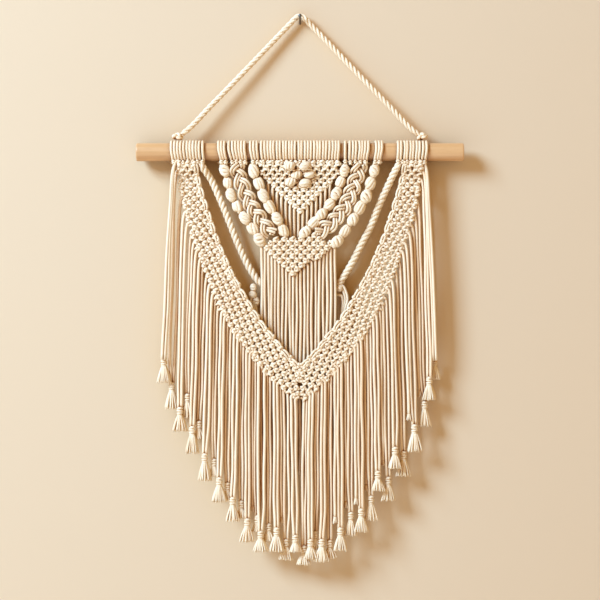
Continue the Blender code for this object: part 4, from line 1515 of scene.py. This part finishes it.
@dataclass(frozen=True)
class LongFringe:
    """Cords from the long V band's lower edge, two into each tassel, and cords between them."""

    tassels: tuple[Tassel, ...]
    # how far the front and the back plane are from the middle: at the end, on the way, at the band
    spread: float = 3.3
    hang_spread: float = 1.7
    root_spread: float = 1.2
    # half the distance between a tassel's two cords, on the way and at the end
    pair: float = 2.4
    pair_end: float = 1.75
    end_rise: float = 3.6
    hook: float = 5.2
    outside: float = 1.2
    steps: int = 80
    root_share: float = 0.93
    # the outermost cords leave the band together, just below its corner
    corner: tuple[tuple[float, ...], tuple[float, ...]] = ((15, 58, 76, 400), (15, 31, 68, 400))
    filler_room: float = 6.6
    smoothing: int = 12
    filler_short: float = 14.0
    # the cut ends: locks to a cord, their length, and how they open
    locks: int = 8
    fray: float = 9.0
    fray_inner: float = 0.9
    fray_flare: float = 0.25
    lock_sides: int = 5
    # outer edge of the band's right arm
    edge: tuple[Place, ...] = rows_of(
        Place, (151.0, 14.9), (148.2, 38.9), (143.7, 62.1), (137.3, 87.8), (126.6, 119.6),
        (115.7, 147.3), (104.6, 178.3), (92.3, 200.9), (74.6, 228.5), (53.8, 254.6), (27.5, 283.5),
        (1.0, 305.9))

    def line(self) -> Array:
        """Return the middle of the strip just outside the band's outer edge."""
        line = curve(self.edge, self.steps)
        return line - edge_normal(line) * self.outside

    def root(self, x: float) -> tuple[float, float]:
        """Return where a cord that hangs at x leaves the band.

        Args:
            x: the place across at which it hangs.

        Returns:
            Its place across and its drop.
        """
        line = self.line()[::-1]
        drop = float(np.interp(abs(x) * self.root_share, line[:, 0], line[:, 1]))
        drop = float(np.interp(drop, *self.corner))
        place = float(np.interp(drop, line[::-1, 1], line[::-1, 0]))
        return math.copysign(place, x), drop

    def cord(self, x: float, end_x: float, end: float, plane: int, hang_x: float) -> Cord:
        """Return one cord.

        Args:
            x: the place across of the tassel or the cut end that it belongs to.
            end_x: the place across of its end.
            end: the drop of its end.
            plane: 1 in front, -1 behind.
            hang_x: the place across at which it hangs below the band.

        Returns:
            The cord.
        """
        root_x, root_drop = self.root(hang_x)
        middle = float(v_front(root_drop))
        return Cord(root_x, root_drop, middle + plane * self.root_spread, end_x, end,
                    middle + plane * self.spread, math.copysign(self.hook, x), hang_x,
                    middle + plane * self.hang_spread)

    def frayed(self, cords: Sequence[Cord], rng: np.random.Generator) -> Surface:
        """Fray the cut ends of cords: fine locks that spread evenly round each as they fall.

        Args:
            cords: the cords whose ends are cut.
            rng: source of small irregularities.

        Returns:
            The locks.
        """
        table = np.array([(cord.end_x, cord.front, cord.end) for cord in cords])
        ends = np.repeat(table, self.locks, axis=0)[:, None]
        turn = math.tau * (np.arange(len(ends)) / self.locks)[:, None]
        fall = np.linspace(0.0, 1.0, 5)[None]
        flare = self.fray * self.fray_flare * rng.uniform(0.6, 1.1, (len(ends), 1))
        reach = self.fray_inner + flare * fall
        length = self.fray * rng.uniform(0.75, 1.0, (len(ends), 1))
        step = np.stack([reach * np.cos(turn), reach * np.sin(turn), fall * length - 1.0], axis=-1)
        return sweep(ends + step, np.linspace(1.0, 0.7, 5)[None], self.lock_sides, lay=6.0,
                     tones=rng.normal(0.1, 0.12, len(ends)))

    def build(self, finishes: Finishes, rng: np.random.Generator) -> None:
        """Hang both sides' cords, spread evenly between the band and the tassels.

        Their places across are smoothed by repeatedly moving each half way to the middle of its
        neighbours.

        Args:
            finishes: the materials.
            rng: source of small irregularities.
        """
        for name, side in (("long_fringe_left", -1), ("long_fringe_right", 1)):
            ends: list[tuple[float, float, float, int]] = []
            for index, tassel in enumerate(self.tassels):
                if tassel.x * side < 0:
                    continue
                plane = 1 if index % 2 == 0 else -1
                ends += [(tassel.x + step * self.pair, tassel.x + step * self.pair_end,
                          tassel.head - self.end_rise, plane) for step in (-1, 1)]
            ends.sort()
            fillers = [((near[0] + far[0]) / 2, (near[0] + far[0]) / 2,
                        min(near[2], far[2]) - self.filler_short, -near[3])
                       for near, far in zip(ends, ends[1:]) if far[0] - near[0] > self.filler_room]
            ends = sorted(ends + fillers)
            hang = np.array([end[0] for end in ends])
            for _ in range(self.smoothing):
                hang[1:-1] = 0.5 * hang[1:-1] + 0.25 * (hang[:-2] + hang[2:])
            hang[1:-1] += rng.normal(0.0, 0.35, len(hang) - 2)
            cords = [self.cord(*end, x) for end, x in zip(ends, hang.tolist())]
            tips = [cord for cord, end in zip(cords, ends) if end in fillers]
            surface = Surface.joined([CordStyle().hang(cords, rng), self.frayed(tips, rng)])
            publish_cotton(surface, name, "cords", finishes.hanging)


@dataclass(frozen=True)
class TasselMaker:
    """Tassels: cord wrapped round a pair of cords, whose combed ends make a flared skirt."""

    tassels: tuple[Tassel, ...]
    head_height: float = 11.6
    head_radius: float = 4.2
    # each ring of the wrapping: its middle's share of the height, and its share of the radius
    wraps: tuple[tuple[float, float], ...] = ((0.17, 0.94), (0.41, 1.0), (0.65, 0.98), (0.88, 0.88))
    wrap_cord: float = 1.3
    wrap_tilt: float = 0.12
    core: float = 0.62
    neck: float = 2.2
    half_depth: float = 4.0
    flare: float = 0.9
    bell: float = 0.45
    rim: int = 20
    inner: int = 14
    inner_share: float = 0.55
    overlap: float = 1.0
    hem_room: float = 0.4
    taper: tuple[float, float] = (1.2, 0.85)
    lock_sides: int = 5

    def one(self, index: int, tassel: Tassel, rng: np.random.Generator) -> Surface:
        """Wrap one head and comb its skirt, within the box of its CAD node.

        The head is rings of cord over a core. The skirt's locks leave a narrow neck in the
        direction of a rim or an inner ring. They spread quickly at first and then less, by the
        fall and a share of its square.

        Args:
            index: the tassel's place in the table, from which its node is named.
            tassel: its size.
            rng: source of the locks' irregularities.

        Returns:
            The head and the skirt.
        """
        low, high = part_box("tassel_%02d" % (index + 1))
        x = (low[0] + high[0]) / 2 / MM
        front = -(low[1] + high[1]) / 2 / MM - DOWEL_DEPTH
        top = -high[2] / MM - DOWEL_DROP
        hem = -low[2] / MM - DOWEL_DROP
        angle = math.tau * np.arange(16) / 16
        rings = []
        for k, (level, radius) in enumerate(self.wraps):
            reach = self.head_radius * radius - self.wrap_cord
            across = reach * np.cos(angle)
            tilt = self.wrap_tilt * (1 if k % 2 else -1) * across
            rings.append(np.stack([x + across, front + reach * np.sin(angle),
                                   top + level * self.head_height + tilt], -1))
        levels = top + np.linspace(0.0, 1.0, 9) * self.head_height
        core = np.column_stack([np.full(9, x), np.full(9, front), levels])
        foot = top + self.head_height - self.overlap
        turn = np.concatenate([math.tau * np.arange(self.rim) / self.rim,
                               math.tau * (np.arange(self.inner) + 0.5) / self.inner])
        count = len(turn)
        turn = turn + rng.normal(0.0, 0.08, count)
        share = np.repeat([1.0, self.inner_share], [self.rim, self.inner])
        share = share * rng.normal(1.0, 0.05, count)
        a, b = (share * np.cos(turn))[:, None], (share * np.sin(turn))[:, None]
        wide = tassel.half_width + self.flare
        fall = np.linspace(0.0, 1.0, 8)[None]
        spread = fall * (1.0 + self.bell - self.bell * fall)
        sway = rng.normal(0.0, 0.5, (count, 1)) * fall
        length = (hem - foot - self.hem_room) * rng.uniform(0.88, 1.0, (count, 1))
        locks = np.stack([x + a * (self.neck + (wide - self.neck) * spread) + sway,
                          front + b * (self.neck + (self.half_depth - self.neck) * spread)
                          + 0.3 * sway, foot + length * fall], axis=-1)
        taper = np.linspace(*self.taper, 8)[None] * rng.uniform(0.85, 1.1, (count, 1))
        return Surface.joined([
            sweep(np.stack(rings), self.wrap_cord, 6, closed=True, lay=8.0,
                  tones=rng.normal(0.04, 0.06, len(rings))),
            sweep(core[None], self.head_radius * self.core, 8),
            sweep(locks, taper, self.lock_sides, lay=6.0, tones=rng.normal(0.02, 0.14, count))])

    def build(self, finishes: Finishes, rng: np.random.Generator) -> None:
        """Make every tassel a piece of its own.

        Args:
            finishes: the materials.
            rng: source of small irregularities.
        """
        for index, tassel in enumerate(self.tassels):
            name = "tassel_%02d" % (index + 1)
            publish_cotton(self.one(index, tassel, rng), name, "combed", finishes.combed)


# ---------------------------------------------------------------- stage


@dataclass(frozen=True)
class Studio:
    """Pale wall and floor, a soft light from the upper left, warm fill and the camera."""

    # the photograph's scale in millimetres for each pixel, its width, and where the dowel is in it
    scale: float = 1.2232
    pixels: int = 600
    dowel_row: float = 152.2
    distance: float = 2.2
    sensor: float = 36.0
    wall: str = "#DFC29E"
    floor: str = "#EFE6D8"
    room: str = "#EFE4D4"
    # metres: the wall's front, the floor's level and the reach of both
    wall_front: float = 0.0006
    floor_level: float = -1.4
    wall_top: float = 2.5
    reach: float = 4.0
    aim: tuple[float, float, float] = (0.0, 0.0, -0.34)
    key_place: tuple[float, float, float] = (-2.75, -2.26, 2.02)
    key_size: float = 1.5
    key_power: float = 362.0
    key_colour: tuple[float, float, float] = (0.375, 0.615, 0.955)
    fill_colour: tuple[float, float, float, float] = (1.0, 0.63, 0.17, 1.0)
    fill_strength: float = 0.55

    def plane(self, name: str, corners: Sequence[Sequence[float]],
              material: bpy.types.Material) -> None:
        """Add a four-cornered stage plane, in metres.

        Args:
            name: its name.
            corners: its corners.
            material: its material.
        """
        mesh = bpy.data.meshes.new(name)
        mesh.from_pydata([tuple(corner) for corner in corners], [], [(0, 1, 2, 3)])
        mesh.materials.append(material)
        plane = bpy.data.objects.new(name, mesh)
        bpy.context.scene.collection.objects.link(plane)

    def build(self) -> None:
        """Set the stage, the light and the camera."""
        wide, low, high, back = self.reach, self.floor_level, self.wall_top, self.wall_front
        self.plane("stage_wall", [(-wide, back, low), (wide, back, low), (wide, back, high),
                                  (-wide, back, high)],
                   PlasterFinish("painted_wall", self.wall, one_sided=True).build())
        self.plane("stage_floor", [(-wide, -5, low), (wide, -5, low), (wide, 3, low),
                                   (-wide, 3, low)],
                   PlasterFinish("pale_floor", self.floor).build())
        self.key_light()
        self.fill_light()
        self.camera()
        bpy.context.scene.view_settings.view_transform = "Standard"

    def key_light(self) -> None:
        """Add the square softbox, which faces the middle of the hanging."""
        light = bpy.data.lights.new("key", "AREA")
        light.shape = "SQUARE"
        light.size = self.key_size
        light.energy = self.key_power
        light.color = self.key_colour
        lamp = bpy.data.objects.new("key", light)
        aim = Vector(self.aim)
        lamp.location = aim + Vector(self.key_place)
        lamp.rotation_euler = (aim - lamp.location).to_track_quat("-Z", "Y").to_euler()
        bpy.context.scene.collection.objects.link(lamp)

    def fill_light(self) -> None:
        """Light the room from all round, and show it pale where the camera looks past the wall."""
        world = bpy.data.worlds.new("warm_room")
        world.use_nodes = True
        tree = world.node_tree
        fill = tree.nodes["Background"]
        fill.inputs[0].default_value = self.fill_colour
        fill.inputs[1].default_value = self.fill_strength
        room = tree.nodes.new("ShaderNodeBackground")
        room.inputs[0].default_value = linear(self.room)
        seen = tree.nodes.new("ShaderNodeLightPath")
        choice = tree.nodes.new("ShaderNodeMixShader")
        tree.links.new(seen.outputs["Is Camera Ray"], choice.inputs[0])
        tree.links.new(fill.outputs[0], choice.inputs[1])
        tree.links.new(room.outputs[0], choice.inputs[2])
        tree.links.new(choice.outputs[0], tree.nodes["World Output"].inputs[0])
        bpy.context.scene.world = world

    def camera(self) -> None:
        """Look straight at the wall, from level with the middle of the photograph."""
        camera = bpy.data.cameras.new("front_view")
        camera.sensor_width = self.sensor
        camera.lens = self.sensor * self.distance / (self.pixels * self.scale * MM)
        camera.clip_end = 50.0
        view = bpy.data.objects.new("front_view", camera)
        drop = (self.pixels / 2 - self.dowel_row) * self.scale + DOWEL_DROP
        view.location = (0.0, -self.distance - DOWEL_DEPTH * MM, -drop * MM)
        view.rotation_euler = (math.pi / 2, 0.0, 0.0)
        bpy.context.scene.collection.objects.link(view)
        bpy.context.scene.camera = view


# ---------------------------------------------------------------- the pieces' places and routes


HEADINGS = (
    Heading("heading_left", (Group(-158.7, 11, 1.6, 0.03),)),
    Heading("heading_inner_left", (Group(-101.6, 3, 3.0, 0.14), Group(-88.4, 6, 2.6, 0.10),
                                   Group(-62.2, 3, 2.2, 0.14))),
    Heading("heading_centre", (Group(-48.9, 26, 0.0, 0.03),)),
    Heading("heading_inner_right", (Group(53.6, 1, 0.0, 0.0), Group(59.2, 7, -1.6, 0.10),
                                    Group(90.6, 3, -2.2, 0.14))),
    Heading("heading_right", (Group(118.0, 10, -1.2, 0.03),)),
)

CENTRE_ROWS = rows_of(
    NetRow, (-49.5, 9.5, 24.0), (-44.0, 9.5, 34.0), (-35.5, 9.5, 43.0), (-28.4, 9.5, 50.8),
    (-20.5, 9.5, 58.4), (-12.8, 9.5, 65.6), (-5.0, 9.5, 71.5), (0.0, 9.5, 73.8), (5.0, 9.5, 70.5),
    (13.0, 9.5, 62.5), (24.7, 9.5, 51.6), (34.7, 9.5, 40.8), (44.0, 9.5, 30.6),
    (50.5, 9.5, 23.0))
SECOND_ROWS = rows_of(
    NetRow, (-47.5, 109.0, 115.0), (-41.0, 106.0, 119.4), (-34.6, 101.4, 126.3),
    (-28.4, 97.4, 132.4), (-24.5, 100.5, 136.6), (-18.6, 104.0, 141.3), (-13.2, 101.4, 146.6),
    (-8.5, 101.6, 150.6), (-2.0, 101.4, 147.0), (3.2, 104.4, 143.6), (9.0, 101.0, 139.8),
    (16.0, 95.9, 134.9), (21.0, 100.0, 130.6), (26.2, 105.8, 126.2), (33.5, 107.2, 120.2),
    (40.2, 107.0, 116.6), (45.0, 110.9, 114.6))
BERRIES = rows_of(
    Place, (-12.5, 17.5), (6.0, 17.5), (-4.0, 27.5), (11.5, 27.5), (-11.5, 36.5), (6.0, 37.5))
CHAINS = (
    Chain("outer_chain_left", beads=7, half_width=7.0, half_depth=5.6, route=rows_of(
        Place, (-95.0, 14.9), (-92.0, 22.5), (-88.0, 36.0), (-84.0, 49.5), (-78.0, 64.0),
        (-68.5, 79.0), (-60.0, 91.5), (-45.0, 114.0))),
    Chain("outer_chain_right", beads=7, half_width=7.0, half_depth=5.6, route=rows_of(
        Place, (92.5, 14.9), (90.0, 25.5), (85.0, 42.0), (79.5, 57.0), (73.0, 70.0), (64.0, 83.5),
        (55.0, 97.0), (38.5, 114.6))),
    Chain("inner_chain_left", beads=6, half_width=6.8, half_depth=5.5, route=rows_of(
        Place, (-56.5, 14.9), (-56.0, 23.5), (-50.5, 39.0), (-44.5, 54.0), (-37.5, 67.5),
        (-29.0, 80.5), (-16.0, 103.5))),
    Chain("inner_chain_right", beads=7, half_width=6.6, half_depth=5.5, route=rows_of(
        Place, (55.0, 14.9), (54.5, 23.5), (49.0, 38.5), (43.5, 52.5), (35.5, 65.0), (26.0, 76.0),
        (15.0, 88.5), (1.0, 103.5))),
)
BRAIDS = (
    Braid("braid_left", route=rows_of(
        Place, (-76.5, 14.9), (-76.0, 22.0), (-73.0, 34.0), (-68.0, 46.0), (-63.0, 58.5),
        (-56.5, 70.5), (-48.0, 83.0), (-34.5, 100.8))),
    Braid("braid_right", route=rows_of(
        Place, (72.5, 14.9), (72.0, 22.0), (68.5, 34.0), (64.5, 46.0), (59.0, 58.5), (53.0, 69.5),
        (44.0, 80.5), (34.0, 90.5), (21.5, 100.3))),
)
SWAG_ROPES = (
    SwagRope(
        "swag_rope_left",
        path=rows_of(
            RopePoint, (-121.5, 13.5, 0.0), (-117.8, 20.0, 0.0), (-109.5, 32.0, -0.5),
            (-98.5, 55.5, -1.6), (-86.0, 86.0, -3.2), (-75.5, 113.0, -4.8), (-61.5, 142.0, -6.0),
            (-52.0, 156.5, -6.4), (-45.5, 163.5, -6.6)),
        knots=((Place(-57.2, 165.7), 4.4, 4.9), (Place(-58.0, 174.2), 5.8, 5.2),
               (Place(-53.4, 182.2), 4.6, 5.1)),
        tails=(
            rows_of(RopePoint, (-55.0, 183.0, -4.4), (-53.5, 192.0, -4.6), (-51.0, 206.0, -5.0)),
            rows_of(RopePoint, (-59.6, 176.0, -5.4), (-59.0, 188.0, -5.6), (-55.6, 206.0, -6.0)),
            rows_of(RopePoint, (-56.6, 178.0, -4.6), (-56.2, 190.0, -5.0), (-53.4, 206.0, -5.6)))),
    SwagRope(
        "swag_rope_right",
        path=rows_of(
            RopePoint, (122.0, 13.5, 0.0), (117.9, 20.0, 0.0), (107.5, 41.5, -0.8),
            (96.5, 65.5, -2.0), (87.5, 89.0, -3.4), (75.5, 112.0, -4.8), (63.0, 137.0, -6.2),
            (51.5, 155.5, -6.6), (45.0, 165.0, -6.8)),
        knots=((Place(48.6, 166.0), 4.6, 4.2),),
        tails=(
            rows_of(RopePoint, (46.0, 163.0, -5.0), (51.5, 163.0, -4.6), (56.6, 171.0, -4.4),
                    (58.4, 180.0, -4.6), (56.0, 189.5, -5.0), (52.0, 206.0, -5.6)),
            rows_of(RopePoint, (45.0, 168.0, -5.2), (50.6, 166.8, -5.0), (54.2, 173.0, -5.2),
                    (55.4, 181.0, -5.6), (53.4, 190.0, -6.0), (50.4, 206.0, -6.4)),
            rows_of(RopePoint, (45.0, 174.5, -5.6), (50.6, 175.5, -5.2), (52.6, 182.0, -5.6),
                    (51.8, 192.0, -6.2), (50.0, 206.0, -6.8)))),
)
SHORT_FRINGE = StraightFringe(
    "short_fringe",
    cords=(
        -39.0, -33.6, -28.2, -22.8, -17.4, -12.2, -7.0, -1.8, 3.4, 8.8, 14.2, 19.8, 25.4, 31.0,
        36.6),
    edge=tuple(Place(row.x, row.bottom) for row in CENTRE_ROWS),
    ends=rows_of(
        Place, (-56.0, 23.5), (-50.5, 39.0), (-44.5, 54.0), (-37.5, 67.5), (-29.0, 80.5),
        (-16.0, 103.5), (1.0, 103.5), (15.0, 88.5), (26.0, 76.0), (35.5, 65.0), (43.5, 52.5),
        (49.0, 38.5)),
    root_front=0.0, front=-2.7, lean=2.0, middle=0.0)
CENTRAL_FRINGE = StraightFringe(
    "central_fringe",
    cords=(
        -46.7, -42.6, -38.4, -34.3, -30.0, -25.6, -21.2, -16.6, -12.4, -8.2, -4.0, 0.5, 5.2, 9.8,
        14.4, 19.0, 23.8, 28.6, 33.0, 37.6, 42.4),
    edge=tuple(Place(row.x, row.bottom) for row in SECOND_ROWS),
    ends=rows_of(Place, (-50.0, 340.0), (0.0, 395.0), (50.0, 340.0)),
    root_front=3.6, front=0.9, lean=2.6, middle=-8.5)

TASSELS = rows_of(
    Tassel, (-166.1, 257, 7.2), (-156.9, 287, 7.2), (-146.4, 317, 7.2), (-137.5, 301, 6.6),
    (-131.2, 340, 7.2), (-123.5, 334, 6.0), (-115.9, 373, 7.2), (-104.6, 380, 6.0),
    (-98.1, 402, 7.2), (-88.3, 409, 6.0), (-81.8, 426, 7.2), (-71.5, 431, 6.0), (-64.0, 452, 7.2),
    (-51.9, 449, 6.4), (-47.9, 467, 7.2), (-38.2, 459, 6.6), (-28.4, 463, 7.2), (-16.8, 478, 7.2),
    (-5.7, 472, 5.8), (4.9, 486, 6.6), (12.8, 477, 5.8), (18.3, 468, 5.6), (26.5, 477, 6.8),
    (36.3, 479, 6.8), (49.2, 463, 7.2), (62.0, 445, 7.2), (74.5, 440, 7.2), (86.6, 425, 7.2),
    (94.8, 394, 6.4), (107.6, 402, 7.2), (115.7, 365, 6.6), (126.3, 371, 7.2), (139.4, 338, 7.2),
    (152.3, 310, 7.2), (157.8, 280, 7.0), (164.5, 258, 7.2))


def main() -> None:
    """Build the hanging from the rod down, then its stage."""
    logging.basicConfig(level=logging.INFO, format="%(message)s")
    rng = np.random.default_rng(SEED)
    # the fringe cords' cotton has painted shade over more of its surface where cords lie close
    hanging = CottonFinish("hanging_cotton_cord", darkest_painted_shade="#944606", depth=(0.32, 0.58, 0.79))
    finishes = Finishes(
        cotton=CottonFinish("natural_cotton_cord").build(),
        hanging=hanging.build(),
        rope=CottonFinish("natural_cotton_rope", relief=0.00016).build(),
        # the tassels' combed yarn has only faint painted shade
        combed=CottonFinish("combed_cotton_yarn", depth=(-0.9, -0.3, 0.6)).build(),
        wood=WoodFinish("oiled_beech").build(),
        steel=SteelFinish("drawn_steel").build())
    Dowel().build(finishes)
    Nail().build(finishes)
    HangerRope().build(finishes)
    for heading in HEADINGS:
        heading.build(finishes, rng)
    LongBand().build(finishes, rng)
    net = Knot(pitch=10.4, row=5.2, cord=1.92, slant=0.42, bar=0.57, loop=0.50, tone=0.05)
    # painted light: the centre net's knots are made paler, against the shadow that the dowel and
    # the loops cast on it
    inner = replace(net, tone=0.4)
    KnottedPanel("centre_net", CENTRE_ROWS, inner, 0.0, BERRIES).build(finishes, rng)
    KnottedPanel("second_net", SECOND_ROWS, net, SECOND_FORWARD).build(finishes, rng)
    for piece in (*CHAINS, *BRAIDS, *SWAG_ROPES, SHORT_FRINGE, CENTRAL_FRINGE, LongFringe(TASSELS),
                  TasselMaker(TASSELS)):
        piece.build(finishes, rng)
    Studio().build()


if __name__ == "__main__":
    main()
